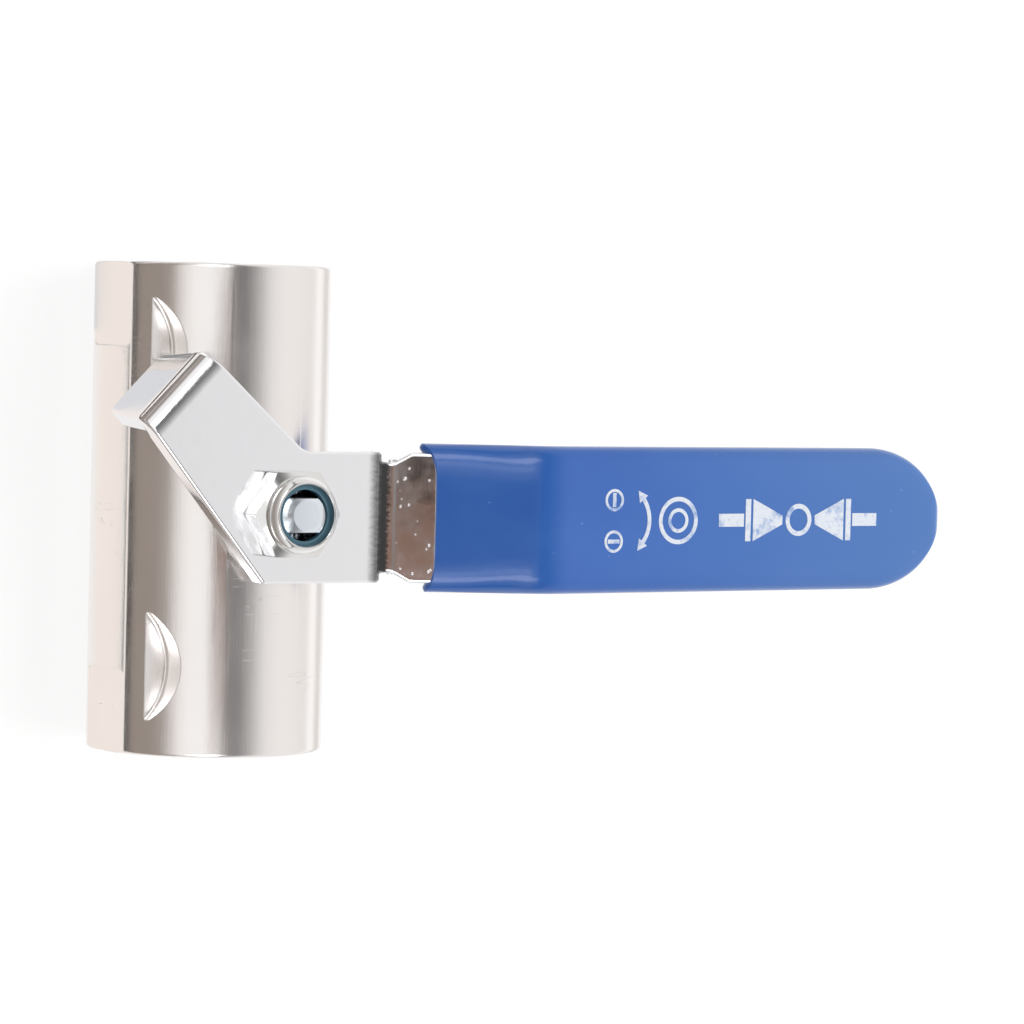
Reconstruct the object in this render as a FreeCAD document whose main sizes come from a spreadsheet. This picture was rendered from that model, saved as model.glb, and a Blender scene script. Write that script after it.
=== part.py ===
"""Half-inch one-piece ball valve: a round bar-stock body, a floating ball and a cranked lever.

Frame, in millimetres: the pipe axis is Y, running from the inlet mouth at the origin to the
outlet mouth; the stem stands along +Z at mid length; the lever points along +X when shut.
"""

import os

import FreeCAD
import Part
import Sketcher
from FreeCAD import Placement, Rotation, Vector

DIMENSIONS = {
    # bar-stock body
    "body_length": 58.5,
    "body_radius": 14.25,
    "end_chamfer": 0.5,
    "stem_station": 29.25,
    "port_radius": 9.3155,
    "port_depth": 14.8,
    "mouth_chamfer": 0.4,
    "throat_radius": 4.6,
    "cavity_radius": 7.8,
    "wrench_flat": 13.55,
    "wrench_length": 10.0,
    "wrench_height": 4.9,
    "wrench_corner": 1.5,
    # stop notches, milled parallel to the stem
    "notch_radius": 9.2,
    "notch_floor": 7.3,
    "notch_reach": 18.55,
    "notch_spacing": 18.6,
    # stem tower in the top of the body
    "spot_face": 13.4,
    "spot_radius": 7.35,
    "recess_radius": 4.7,
    "recess_top": 9.2,
    "web_top": 10.2,
    "chamber_radius": 5.6,
    # ball and seats
    "ball_radius": 7.5,
    "slot_width": 3.12,
    "slot_bottom": 5.2,
    "seat_front": 4.8,
    "seat_back": 8.4,
    "seat_radius": 7.75,
    "seat_bore": 4.7,
    "seat_clearance": 0.04,
    # threaded seat retainer and its gasket
    "gasket_station": 8.6,
    "gasket_thickness": 0.6,
    "retainer_bore": 9.0,
    "retainer_radius": 8.95,
    "retainer_nose": 7.7,
    "retainer_end": 14.1,
    "socket_flats": 12.0,
    "socket_depth": 3.2,
    # stem
    "stem_radius": 3.5,
    "stem_clearance": 0.05,
    "stem_flange": 4.6,
    "flange_bottom": 7.7,
    "flange_top": 8.6,
    "tang_radius": 4.0,
    "tang_thickness": 3.0,
    "tang_bottom": 5.35,
    "thread_radius": 3.0,
    "stem_top": 23.4,
    "stem_flats": 4.0,
    "stem_chamfer": 0.5,
    # thrust washer, packing, gland ring and gland nut
    "washer_thickness": 0.56,
    "packing_radius": 5.55,
    "packing_height": 0.7,
    "packing_vee": 0.3,
    "gland_ring_height": 0.5,
    "gland_clearance": 0.1,
    "gland_shank": 5.55,
    "gland_flats": 12.5,
    "gland_turn": 15.0,
    "gland_hex_base": 13.45,
    "gland_top": 15.9,
    # lever, a folded strip
    "plate": 2.5,
    "hub_under": 16.2,
    "blade_half": 7.8,
    "blade_offset": 0.5,
    "hub_back": 2.97,
    "rise_start": 13.9,
    "rise_end": 31.05,
    "rise_angle": 28.2,
    "lever_reach": 89.6,
    "end_land": 0.02,
    "waist_half": 6.6,
    "waist_start": 12.9,
    "waist_end": 14.2,
    "waist_run": 1.6,
    "bend_radius": 1.2,
    "crown_radius": 4.0,
    "hole_clearance": 0.05,
    # stop arm and its folded tab, square to the line at 135 degrees from the lever
    "arm_angle": 135.0,
    "arm_end": 18.7,
    "arm_half": 5.95,
    "arm_root": 3.42,
    "arm_root_half": 6.9,
    "arm_heel": 3.8,
    "arm_heel_half": 8.0,
    "arm_fillet": 3.0,
    "tab_bottom": 8.2,
    "tab_half": 4.8,
    "tab_corner": 1.2,
    "fold_radius": 0.4,
    "fold_relief": 0.1,
    # vinyl sleeve
    "sleeve_wall": 1.1,
    "sleeve_mouth": 19.0,
    "sleeve_edge": 1.6,
    # lock nut and its nylon ring
    "nut_flats": 10.0,
    "nut_height": 5.0,
    "nut_hex": 3.4,
    "nut_chamfer": 0.75,
    "collar_radius": 4.5,
    "collar_round": 0.7,
    "pocket_radius": 3.95,
    "pocket_base": 3.5,
    "lip_height": 0.4,
    "lip_radius": 3.6,
    "nylon_gap": 0.02,
}

ALONG = {
    "x": Rotation(Vector(0, 1, 0), 90),
    "y": Rotation(Vector(1, 0, 0), -90),
    "z": Rotation(),
}
FIRST_GUESS = Vector(10, 0, 0)

doc = FreeCAD.newDocument("ball_valve")


def make_sheet():
    """Puts every driving dimension in its own aliased cell."""
    sheet = doc.addObject("Spreadsheet::Sheet", "Dims")
    for row, (alias, value) in enumerate(DIMENSIONS.items(), start=1):
        sheet.set(f"A{row}", alias)
        sheet.set(f"B{row}", str(value))
        sheet.setAlias(f"B{row}", alias)
    doc.recompute()


def bind(target, **formulas):
    """Binds properties to formulas; a double underscore in a name stands for a dot."""
    for name, formula in formulas.items():
        target.setExpression(name.replace("__", "."), formula)


def new_body(label):
    """Starts a PartDesign body with its own label."""
    body = doc.addObject("PartDesign::Body", label)
    body.Label = label
    return body


def new_sketch(body, name, role, turn=0.0, **offset):
    """Attaches a sketch to one of the body's origin planes, turned about the plane's y axis."""
    plane = next(item for item in body.Origin.OriginFeatures if item.Role == role)
    sketch = body.newObject("Sketcher::SketchObject", name)
    sketch.AttachmentSupport = (plane, [""])
    sketch.MapMode = "FlatFace"
    sketch.AttachmentOffset = Placement(Vector(), Rotation(Vector(0, 1, 0), turn))
    bind(sketch, **{f"AttachmentOffset__Base__{axis}": rule for axis, rule in offset.items()})
    return sketch


def outline(sketch, corners):
    """Draws a closed loop of straight edges whose corners each follow a pair of formulas."""
    first = sketch.GeometryCount
    count = len(corners)
    upright = Vector(0, 0, 1)
    start = [Rotation(upright, 360.0 * k / count).multVec(FIRST_GUESS) for k in range(count)]
    for k in range(count):
        sketch.addGeometry(Part.LineSegment(start[k], start[(k + 1) % count]), False)
    for k in range(count):
        after = first + (k + 1) % count
        sketch.addConstraint(Sketcher.Constraint("Coincident", first + k, 2, after, 1))
    for k, (across, along) in enumerate(corners):
        edge = first + k
        for kind, value, formula in (
            ("DistanceX", start[k].x, across),
            ("DistanceY", start[k].y, along),
        ):
            index = sketch.addConstraint(Sketcher.Constraint(kind, -1, 1, edge, 1, value))
            sketch.setExpression(f"Constraints[{index}]", formula)


def turned(label, corners, role="XZ_Plane"):
    """Revolves an outline of (radius, height) corners about the sketch plane's vertical axis."""
    body = new_body(label)
    sketch = new_sketch(body, f"{label}_profile", role)
    outline(sketch, corners)
    feature = body.newObject("PartDesign::Revolution", f"{label}_turning")
    feature.Profile = sketch
    feature.ReferenceAxis = (sketch, ["V_Axis"])
    feature.Angle = 360.0
    body.Tip = feature
    return body


def pad(body, sketch, name, length):
    """Pads a sketch along its plane's normal."""
    feature = body.newObject("PartDesign::Pad", name)
    feature.Profile = sketch
    bind(feature, Length=length)
    body.Tip = feature
    doc.recompute()
    return feature


def pocket(body, sketch, name, length):
    """Pockets a sketch against its plane's normal and makes sure that material goes."""
    before = body.Shape.Volume
    feature = body.newObject("PartDesign::Pocket", name)
    feature.Profile = sketch
    bind(feature, Length=length)
    body.Tip = feature
    doc.recompute()
    if body.Shape.Volume >= before:
        raise RuntimeError(f"{name} removed nothing")
    return feature


def edges_near(shape, direction, places, tolerance=0.3):
    """Names the straight edges that run along direction and pass near one of the places."""
    found = []
    for number, edge in enumerate(shape.Edges, start=1):
        if edge.Curve.TypeId != "Part::GeomLine":
            continue
        if abs(abs(edge.tangentAt(edge.FirstParameter).dot(direction)) - 1.0) > 0.001:
            continue
        if any(edge.distToShape(Part.Vertex(place))[0] < tolerance for place in places):
            found.append(f"Edge{number}")
    if not found:
        raise RuntimeError("no edge to round")
    return found


def fillet(body, name, radius, direction, places):
    """Rounds the chosen straight edges of the body as it stands."""
    round_edges(body, name, radius, edges_near(body.Shape, direction, places))


def round_edges(body, name, radius, edges):
    """Adds a fillet on named edges of the body's last feature."""
    base = body.Tip
    feature = body.newObject("PartDesign::Fillet", name)
    feature.Base = (base, edges)
    bind(feature, Radius=radius)
    body.Tip = feature
    doc.recompute()


def cylinder(name, axis, radius, height, **base):
    """Makes a round bar along a row axis, starting at its base."""
    bar = doc.addObject("Part::Cylinder", name)
    bar.Placement = Placement(Vector(), ALONG[axis])
    bind(bar, Radius=radius, Height=height)
    bind(bar, **{f"Placement__Base__{place}": rule for place, rule in base.items()})
    return bar


def box(name, size, **base):
    """Makes a block from its three sizes and its lowest corner."""
    block = doc.addObject("Part::Box", name)
    bind(block, Length=size[0], Width=size[1], Height=size[2])
    bind(block, **{f"Placement__Base__{place}": rule for place, rule in base.items()})
    return block


def sphere(name, radius):
    """Makes a sphere about the ball centre."""
    globe = doc.addObject("Part::Sphere", name)
    bind(globe, Radius=radius, Placement__Base__y="Dims.stem_station")
    return globe


def hexagon(name, flats, height, turn=ALONG["z"], **base):
    """Makes a hexagonal bar from its width across flats, along Z unless it is turned."""
    bar = doc.addObject("Part::Prism", name)
    bar.Polygon = 6
    bar.Placement = Placement(Vector(), turn)
    bind(bar, Circumradius=f"{flats} / 2 / cos(30 deg)", Height=height)
    bind(bar, **{f"Placement__Base__{place}": rule for place, rule in base.items()})
    return bar


def fuse(name, shapes):
    """Joins shapes into one."""
    feature = doc.addObject("Part::MultiFuse", name)
    feature.Shapes = shapes
    return feature


def common(name, shapes):
    """Keeps what the shapes share."""
    feature = doc.addObject("Part::MultiCommon", name)
    feature.Shapes = shapes
    return feature


def cut(label, base, tool):
    """Takes the tool away from the base."""
    feature = doc.addObject("Part::Cut", label)
    feature.Label = label
    feature.Base = base
    feature.Tool = tool
    return feature


def on_stem(item):
    """Stands a piece that was drawn about the stem axis at the stem's station."""
    bind(item, Placement__Base__y="Dims.stem_station")
    return item


def make_valve_body():
    """Bar-stock body: two threaded ports, ball cavity, stem tower, wrench flats and stop notches."""
    end = "Dims.body_length"
    port = "Dims.port_radius"
    mouth = "Dims.port_radius + Dims.mouth_chamfer"
    rim = "Dims.body_radius - Dims.end_chamfer"
    inlet_seat = "Dims.stem_station - Dims.seat_back"
    outlet_step = "Dims.stem_station + Dims.gasket_station"
    blank = turned(
        "body_blank",
        [
            (mouth, "0"),
            (rim, "0"),
            ("Dims.body_radius", "Dims.end_chamfer"),
            ("Dims.body_radius", f"{end} - Dims.end_chamfer"),
            (rim, end),
            (mouth, end),
            (port, f"{end} - Dims.mouth_chamfer"),
            (port, f"{end} - Dims.port_depth"),
            ("Dims.retainer_bore", f"{end} - Dims.port_depth"),
            ("Dims.retainer_bore", outlet_step),
            ("Dims.cavity_radius", outlet_step),
            ("Dims.cavity_radius", inlet_seat),
            ("Dims.throat_radius", inlet_seat),
            ("Dims.throat_radius", "Dims.port_depth"),
            (port, "Dims.port_depth"),
            (port, "Dims.mouth_chamfer"),
        ],
        role="XY_Plane",
    )
    station = "Dims.stem_station"
    above = "Dims.body_radius"
    tools = [
        cylinder("spot_tool", "z", "Dims.spot_radius", above, y=station, z="Dims.spot_face"),
        cylinder("chamber_tool", "z", "Dims.chamber_radius", above, y=station, z="Dims.web_top"),
        cylinder("stem_tool", "z", "Dims.stem_radius + Dims.stem_clearance", above, y=station),
        cylinder("recess_tool", "z", "Dims.recess_radius", "Dims.recess_top", y=station),
    ]
    for side, sign in (("inlet", "-"), ("outlet", "+")):
        tools.append(
            cylinder(
                f"{side}_notch",
                "z",
                "Dims.notch_radius",
                above,
                x="-Dims.notch_reach",
                y=f"{station} {sign} Dims.notch_spacing",
                z="Dims.notch_floor",
            )
        )
    tools.extend(make_wrench_cutters())
    return cut("body", blank, fuse("body_tools", tools))


def make_wrench_cutters():
    """Four blocks with two round corners each, one for each wrench flat."""
    cutters = []
    size = ("Dims.body_radius", "Dims.wrench_length * 2", "Dims.wrench_height * 2")
    for end, centre in (("inlet", "0"), ("outlet", "Dims.body_length")):
        for side, place in (
            ("left", "-Dims.wrench_flat - Dims.body_radius"),
            ("right", "Dims.wrench_flat"),
        ):
            block = box(
                f"{end}_{side}_block",
                size,
                x=place,
                y=f"{centre} - Dims.wrench_length",
                z="-Dims.wrench_height",
            )
            doc.recompute()
            across = [
                number
                for number, edge in enumerate(block.Shape.Edges, start=1)
                if abs(edge.tangentAt(edge.FirstParameter).x) > 0.9
            ]
            rounded = doc.addObject("Part::Fillet", f"{end}_{side}_flat")
            rounded.Base = block
            radius = DIMENSIONS["wrench_corner"]
            rounded.Edges = [(number, radius, radius) for number in across]
            cutters.append(rounded)
    return cutters


def make_ball():
    """Floating ball: flow bore along X when shut, and a slot along the pipe for the stem tang."""
    reach = "Dims.ball_radius * 2"
    bore = cylinder(
        "ball_bore", "x", "Dims.throat_radius", reach, x="-Dims.ball_radius", y="Dims.stem_station"
    )
    slot = box(
        "ball_slot",
        ("Dims.slot_width", reach, "Dims.ball_radius"),
        x="-Dims.slot_width / 2",
        y="Dims.stem_station - Dims.ball_radius",
        z="Dims.slot_bottom",
    )
    return cut("ball", sphere("ball_blank", "Dims.ball_radius"), fuse("ball_tools", [bore, slot]))


def make_seats():
    """Two seat rings, each with a spherical face that runs on the ball."""
    height = "Dims.seat_back - Dims.seat_front"
    seats = []
    for name, start in (
        ("seat_inlet", "Dims.stem_station - Dims.seat_back"),
        ("seat_outlet", "Dims.stem_station + Dims.seat_front"),
    ):
        ring = cylinder(f"{name}_blank", "y", "Dims.seat_radius", height, y=start)
        bore = cylinder(f"{name}_bore", "y", "Dims.seat_bore", height, y=start)
        face = sphere(f"{name}_face", "Dims.ball_radius + Dims.seat_clearance")
        seats.append(cut(name, ring, fuse(f"{name}_tools", [bore, face])))
    return seats


def make_retainer():
    """Threaded retainer behind the outlet seat, with a hexagon socket for its key."""
    front = "Dims.stem_station + Dims.seat_back"
    shoulder = "Dims.stem_station + Dims.gasket_station + Dims.gasket_thickness"
    end = "Dims.stem_station + Dims.retainer_end"
    blank = turned(
        "retainer_blank",
        [
            ("Dims.throat_radius", front),
            ("Dims.retainer_nose", front),
            ("Dims.retainer_nose", shoulder),
            ("Dims.retainer_radius", shoulder),
            ("Dims.retainer_radius", end),
            ("Dims.throat_radius", end),
        ],
        role="XY_Plane",
    )
    depth = "Dims.socket_depth"
    socket = hexagon(
        "retainer_socket", "Dims.socket_flats", depth, turn=ALONG["y"], y=f"{end} - {depth}"
    )
    return cut("seat_retainer", blank, socket)


def make_gasket():
    """Flat ring that seals the retainer against the body's step."""
    start = "Dims.stem_station + Dims.gasket_station"
    height = "Dims.gasket_thickness"
    gap = "Dims.stem_clearance"
    ring = cylinder("gasket_blank", "y", "Dims.retainer_radius", height, y=start)
    bore = cylinder("gasket_bore", "y", f"Dims.retainer_nose + {gap}", height, y=start)
    return cut("joint_gasket", ring, bore)


def make_stem():
    """Blow-out-proof stem: tang, flange, shank and a flatted M6 end for the lever and its nut."""
    blank = turned(
        "stem_blank",
        [
            ("0", "Dims.tang_bottom"),
            ("Dims.tang_radius", "Dims.tang_bottom"),
            ("Dims.tang_radius", "Dims.flange_bottom"),
            ("Dims.stem_flange", "Dims.flange_bottom"),
            ("Dims.stem_flange", "Dims.flange_top"),
            ("Dims.stem_radius", "Dims.flange_top"),
            ("Dims.stem_radius", "Dims.hub_under"),
            ("Dims.thread_radius", "Dims.hub_under"),
            ("Dims.thread_radius", "Dims.stem_top - Dims.stem_chamfer"),
            ("Dims.thread_radius - Dims.stem_chamfer", "Dims.stem_top"),
            ("0", "Dims.stem_top"),
        ],
    )
    on_stem(blank)
    cutters = []
    span = "Dims.stem_flange * 2"
    half_tang = "Dims.tang_thickness / 2"
    half_flats = "Dims.stem_flats / 2"
    for name, place in (("left", f"-{half_tang} - {span}"), ("right", half_tang)):
        cutters.append(
            box(
                f"tang_{name}",
                (span, span, "Dims.flange_bottom"),
                x=place,
                y="Dims.stem_station - Dims.stem_flange",
            )
        )
    for name, place in (
        ("near", f"Dims.stem_station - {half_flats} - {span}"),
        ("far", f"Dims.stem_station + {half_flats}"),
    ):
        cutters.append(
            box(
                f"flat_{name}",
                (span, span, "Dims.stem_top"),
                x="-Dims.stem_flange",
                y=place,
                z="Dims.hub_under",
            )
        )
    return cut("stem", blank, fuse("stem_tools", cutters))


def make_stem_seals():
    """Thrust washer, two packing rings with mating vees, and the gland ring above them."""
    inner = "Dims.stem_radius + Dims.stem_clearance"
    middle = f"({inner} + Dims.packing_radius) / 2"
    outer = "Dims.packing_radius"
    lower = "Dims.web_top"
    upper = f"{lower} + Dims.packing_height"
    top = f"{upper} + Dims.packing_height"
    washer_base = "Dims.recess_top - Dims.washer_thickness"
    return [
        on_stem(
            turned(
                "thrust_washer",
                [
                    (inner, washer_base),
                    ("Dims.stem_flange", washer_base),
                    ("Dims.stem_flange", "Dims.recess_top"),
                    (inner, "Dims.recess_top"),
                ],
            )
        ),
        on_stem(
            turned(
                "packing_lower",
                [
                    (inner, lower),
                    (outer, lower),
                    (outer, upper),
                    (middle, f"{upper} - Dims.packing_vee"),
                    (inner, upper),
                ],
            )
        ),
        on_stem(
            turned(
                "packing_upper",
                [
                    (inner, upper),
                    (middle, f"{upper} - Dims.packing_vee"),
                    (outer, upper),
                    (outer, top),
                    (inner, top),
                ],
            )
        ),
        on_stem(
            turned(
                "gland_ring",
                [
                    ("Dims.stem_radius + Dims.gland_clearance", top),
                    (outer, top),
                    (outer, f"{top} + Dims.gland_ring_height"),
                    ("Dims.stem_radius + Dims.gland_clearance", f"{top} + Dims.gland_ring_height"),
                ],
            )
        ),
    ]


def make_gland_nut():
    """Hexagonal gland nut: its shank screws into the body and presses on the gland ring."""
    base = "Dims.web_top + Dims.packing_height * 2 + Dims.gland_ring_height"
    height = "Dims.gland_top - Dims.gland_hex_base"
    station = "Dims.stem_station"
    chamfer = "Dims.nut_chamfer"
    corner = "Dims.gland_flats / 2 / cos(30 deg)"
    crown = on_stem(
        turned(
            "gland_crown",
            [
                ("0", "Dims.gland_hex_base"),
                (corner, "Dims.gland_hex_base"),
                (corner, f"Dims.gland_top - {chamfer} / 2"),
                (f"{corner} - {chamfer}", "Dims.gland_top"),
                ("0", "Dims.gland_top"),
            ],
        )
    )
    flats = hexagon(
        "gland_flats",
        "Dims.gland_flats",
        height,
        turn=Rotation(Vector(0, 0, 1), DIMENSIONS["gland_turn"]),
        y=station,
        z="Dims.gland_hex_base",
    )
    shank = cylinder(
        "gland_shank", "z", "Dims.gland_shank", f"Dims.gland_hex_base - ({base})", y=station, z=base
    )
    bore = cylinder(
        "gland_bore",
        "z",
        "Dims.stem_radius + Dims.gland_clearance",
        "Dims.gland_top",
        y=station,
    )
    solid = fuse("gland_solid", [common("gland_hex", [crown, flats]), shank])
    return cut("gland_nut", solid, bore)


def make_lever_blank():
    """Cranked lever strip with its waist, its stop arm and the folded stop tab."""
    body = new_body("lever_blank")
    top = "Dims.hub_under + Dims.plate"
    rise = "(Dims.rise_end - Dims.rise_start) * tan(Dims.rise_angle * 1 deg)"
    mitre = "Dims.plate * tan(Dims.rise_angle * 0.5 deg)"
    side = new_sketch(body, "lever_side", "XZ_Plane", z="Dims.blade_offset - Dims.blade_half")
    outline(
        side,
        [
            ("-Dims.hub_back", "Dims.hub_under"),
            (f"Dims.rise_start + {mitre}", "Dims.hub_under"),
            (f"Dims.rise_end + {mitre}", f"Dims.hub_under + {rise}"),
            ("Dims.lever_reach", f"Dims.hub_under + {rise}"),
            ("Dims.lever_reach", f"{top} + {rise}"),
            ("Dims.rise_end", f"{top} + {rise}"),
            ("Dims.rise_start", top),
            ("-Dims.hub_back", top),
        ],
    )
    pad(body, side, "lever_strip", "Dims.blade_half * 2")
    waist = new_sketch(body, "lever_waist", "XY_Plane", z="Dims.lever_reach")
    for sign in ("", "-"):
        inner = f"{sign}Dims.waist_half - Dims.blade_offset"
        outer = f"{sign}Dims.blade_half * 2"
        flank = "Dims.waist_run * (Dims.blade_half * 2 - Dims.waist_half)"
        outline(
            waist,
            [
                ("Dims.waist_start", inner),
                ("Dims.waist_end", inner),
                (f"Dims.waist_end + {flank}", outer),
                ("Dims.waist_start", outer),
            ],
        )
    pocket(body, waist, "lever_waist_cut", "Dims.lever_reach")
    add_stop_arm(body, top)
    round_lever(body)
    return on_stem(body)


def add_stop_arm(body, top):
    """Adds the arm towards 135 degrees and the tab that hangs from its end."""
    arm = new_sketch(body, "stop_arm", "XY_Plane", z="Dims.hub_under")
    arm.AttachmentOffset = Placement(Vector(), Rotation(Vector(0, 0, 1), DIMENSIONS["arm_angle"]))
    bind(arm, AttachmentOffset__Base__z="Dims.hub_under")
    outline(
        arm,
        [
            ("Dims.arm_end", "Dims.arm_half"),
            ("-Dims.arm_heel", "Dims.arm_heel_half"),
            ("Dims.arm_root", "-Dims.arm_root_half"),
            ("Dims.arm_end", "-Dims.arm_half"),
        ],
    )
    pad(body, arm, "stop_arm_plate", "Dims.plate")
    angle = "Dims.arm_angle * 1 deg"
    tab = new_sketch(
        body,
        "stop_tab",
        "XZ_Plane",
        DIMENSIONS["arm_angle"] + 90.0,
        x=f"Dims.arm_end * cos({angle})",
        z=f"-Dims.arm_end * sin({angle})",
    )
    outline(
        tab,
        [
            ("-Dims.arm_half", top),
            ("-Dims.tab_half", "Dims.tab_bottom"),
            ("Dims.tab_half", "Dims.tab_bottom"),
            ("Dims.arm_half", top),
        ],
    )
    pad(body, tab, "stop_tab_plate", "Dims.plate")


def round_lever(body):
    """Rounds the lever's bends, fold, corners and free end."""
    size = DIMENSIONS
    outward = Rotation(Vector(0, 0, 1), size["arm_angle"]).multVec(Vector(1, 0, 0))
    across = Vector(-outward.y, outward.x, 0)
    upright = Vector(0, 0, 1)
    sideways = Vector(0, 1, 0)
    top = size["hub_under"] + size["plate"]
    run = size["rise_end"] - size["rise_start"]
    slope = Rotation(Vector(0, -1, 0), size["rise_angle"]).multVec(Vector(1, 0, 0))
    half = Rotation(Vector(0, -1, 0), size["rise_angle"] / 2).multVec(Vector(1, 0, 0))
    rise = run * slope.z / slope.x
    mitre = size["plate"] * half.z / half.x
    middle = -size["blade_offset"]
    fold = outward * (size["arm_end"] + size["plate"])
    tab_corners = [
        outward * size["arm_end"] + across * half_width + upright * size["tab_bottom"]
        for half_width in (-size["tab_half"], size["tab_half"])
    ]
    root = outward * size["arm_root"] - across * size["arm_root_half"] + upright * top
    tips = [
        Vector(size["lever_reach"], middle + side * size["blade_half"], top + rise)
        for side in (-1, 1)
    ]
    fillet(body, "tab_corners", "Dims.tab_corner", outward, tab_corners)
    fillet(body, "fold_outside", "Dims.plate - Dims.fold_relief", across, [fold + upright * top])
    inner_fold = outward * size["arm_end"] + upright * size["hub_under"]
    fillet(body, "fold_inside", "Dims.fold_radius", across, [inner_fold])
    fillet(body, "arm_root_round", "Dims.arm_fillet", upright, [root])
    fillet(body, "lever_end", "Dims.blade_half - Dims.end_land", upright, tips)
    fillet(
        body,
        "first_bend_top",
        "Dims.bend_radius",
        sideways,
        [Vector(size["rise_start"], middle, top)],
    )
    fillet(
        body,
        "first_bend_under",
        "Dims.bend_radius + Dims.plate",
        sideways,
        [Vector(size["rise_start"] + mitre, middle, size["hub_under"])],
    )
    fillet(
        body,
        "second_bend_top",
        "Dims.crown_radius + Dims.plate",
        sideways,
        [Vector(size["rise_end"], middle, top + rise)],
    )
    fillet(
        body,
        "second_bend_under",
        "Dims.crown_radius",
        sideways,
        [Vector(size["rise_end"] + mitre, middle, size["hub_under"] + rise)],
    )


def make_lever():
    """The lever with its flatted hole, which fits over the flats of the stem."""
    radius = "Dims.thread_radius + Dims.hole_clearance"
    half = "(Dims.stem_flats / 2 + Dims.hole_clearance)"
    around = on_stem(cylinder("hole_round", "z", radius, "Dims.stem_top"))
    between = box(
        "hole_flats",
        (f"({radius}) * 2", f"{half} * 2", "Dims.stem_top"),
        x=f"-({radius})",
        y=f"Dims.stem_station - {half}",
    )
    return cut("lever", make_lever_blank(), common("lever_hole", [around, between]))


def make_sleeve_blank():
    """Outer form of the vinyl sleeve: the lever's grip, grown by the sleeve's wall."""
    body = new_body("sleeve_blank")
    wall = "Dims.sleeve_wall"
    under = "(Dims.plate + Dims.sleeve_wall)"
    angle = "Dims.rise_angle * 1 deg"
    half = "Dims.rise_angle * 0.5 deg"
    top = "Dims.hub_under + Dims.plate"
    crown = f"{top} + (Dims.rise_end - Dims.rise_start) * tan({angle})"
    mouth = f"{top} + (Dims.sleeve_mouth - Dims.rise_start) * tan({angle})"
    reach = "Dims.lever_reach + Dims.sleeve_wall"
    side = new_sketch(
        body,
        "sleeve_side",
        "XZ_Plane",
        z="Dims.blade_offset - Dims.blade_half - Dims.sleeve_wall",
    )
    outline(
        side,
        [
            (f"Dims.sleeve_mouth + {under} * sin({angle})", f"{mouth} - {under} * cos({angle})"),
            (f"Dims.rise_end + {under} * tan({half})", f"{crown} - {under}"),
            (reach, f"{crown} - {under}"),
            (reach, f"{crown} + {wall}"),
            (f"Dims.rise_end - {wall} * tan({half})", f"{crown} + {wall}"),
            (f"Dims.sleeve_mouth - {wall} * sin({angle})", f"{mouth} + {wall} * cos({angle})"),
        ],
    )
    pad(body, side, "sleeve_block", "(Dims.blade_half + Dims.sleeve_wall) * 2")
    round_sleeve(body)
    return on_stem(body)


def round_sleeve(body):
    """Rounds the sleeve's end and its long edges."""
    upright = Vector(0, 0, 1)
    ends = [
        vertex.Point
        for vertex in body.Shape.Vertexes
        if vertex.Point.x > DIMENSIONS["lever_reach"]
    ]
    end_radius = "Dims.blade_half + Dims.sleeve_wall - Dims.end_land"
    fillet(body, "sleeve_end", end_radius, upright, ends)
    sides = [
        f"Edge{number}"
        for number, edge in enumerate(body.Shape.Edges, start=1)
        if follows_the_grip(edge)
    ]
    round_edges(body, "sleeve_edges", "Dims.sleeve_edge", sides)


def follows_the_grip(edge):
    """True for the edges that run along the grip or round its end, on either broad face."""
    if edge.Curve.TypeId == "Part::GeomCircle":
        return True
    direction = edge.tangentAt(edge.FirstParameter)
    return abs(direction.y) < 0.01 and abs(direction.x) > 0.6


def make_lock_nut():
    """M6 lock nut: chamfered hexagon under a round collar that holds the nylon ring."""
    base = "Dims.hub_under + Dims.plate"
    corner = "Dims.nut_flats / 2 / cos(30 deg)"
    hex_top = f"{base} + Dims.nut_hex"
    top = f"{base} + Dims.nut_height"
    crown = on_stem(
        turned(
            "nut_crown",
            [
                ("0", base),
                (f"{corner} - Dims.nut_chamfer / 2", base),
                (corner, f"{base} + Dims.nut_chamfer / 4"),
                (corner, f"{hex_top} - Dims.nut_chamfer"),
                ("Dims.collar_radius", hex_top),
                ("Dims.collar_radius", f"{top} - Dims.collar_round"),
                ("Dims.collar_radius - Dims.collar_round / 3", f"{top} - Dims.collar_round / 3"),
                ("Dims.collar_radius - Dims.collar_round", top),
                ("0", top),
            ],
        )
    )
    station = "Dims.stem_station"
    flats = hexagon("nut_flats", "Dims.nut_flats", "Dims.nut_height", y=station, z=base)
    bore = cylinder(
        "nut_bore", "z", "Dims.thread_radius + Dims.hole_clearance", top, y=station
    )
    pocket_base = f"{base} + Dims.pocket_base"
    ring_height = "Dims.nut_height - Dims.pocket_base - Dims.lip_height"
    room = cylinder("nut_pocket", "z", "Dims.pocket_radius", ring_height, y=station, z=pocket_base)
    lip = cylinder("nut_lip", "z", "Dims.lip_radius", "Dims.nut_height", y=station, z=pocket_base)
    solid = common("nut_solid", [crown, flats])
    nut = cut("lock_nut", solid, fuse("nut_tools", [bore, room, lip]))
    gap = "Dims.nylon_gap"
    ring = cylinder(
        "ring_blank", "z", f"Dims.pocket_radius - {gap}", ring_height, y=station, z=pocket_base
    )
    hole = cylinder(
        "ring_bore", "z", f"Dims.thread_radius + {gap}", "Dims.nut_height", y=station, z=pocket_base
    )
    return [nut, cut("nylon_ring", ring, hole)]


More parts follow.
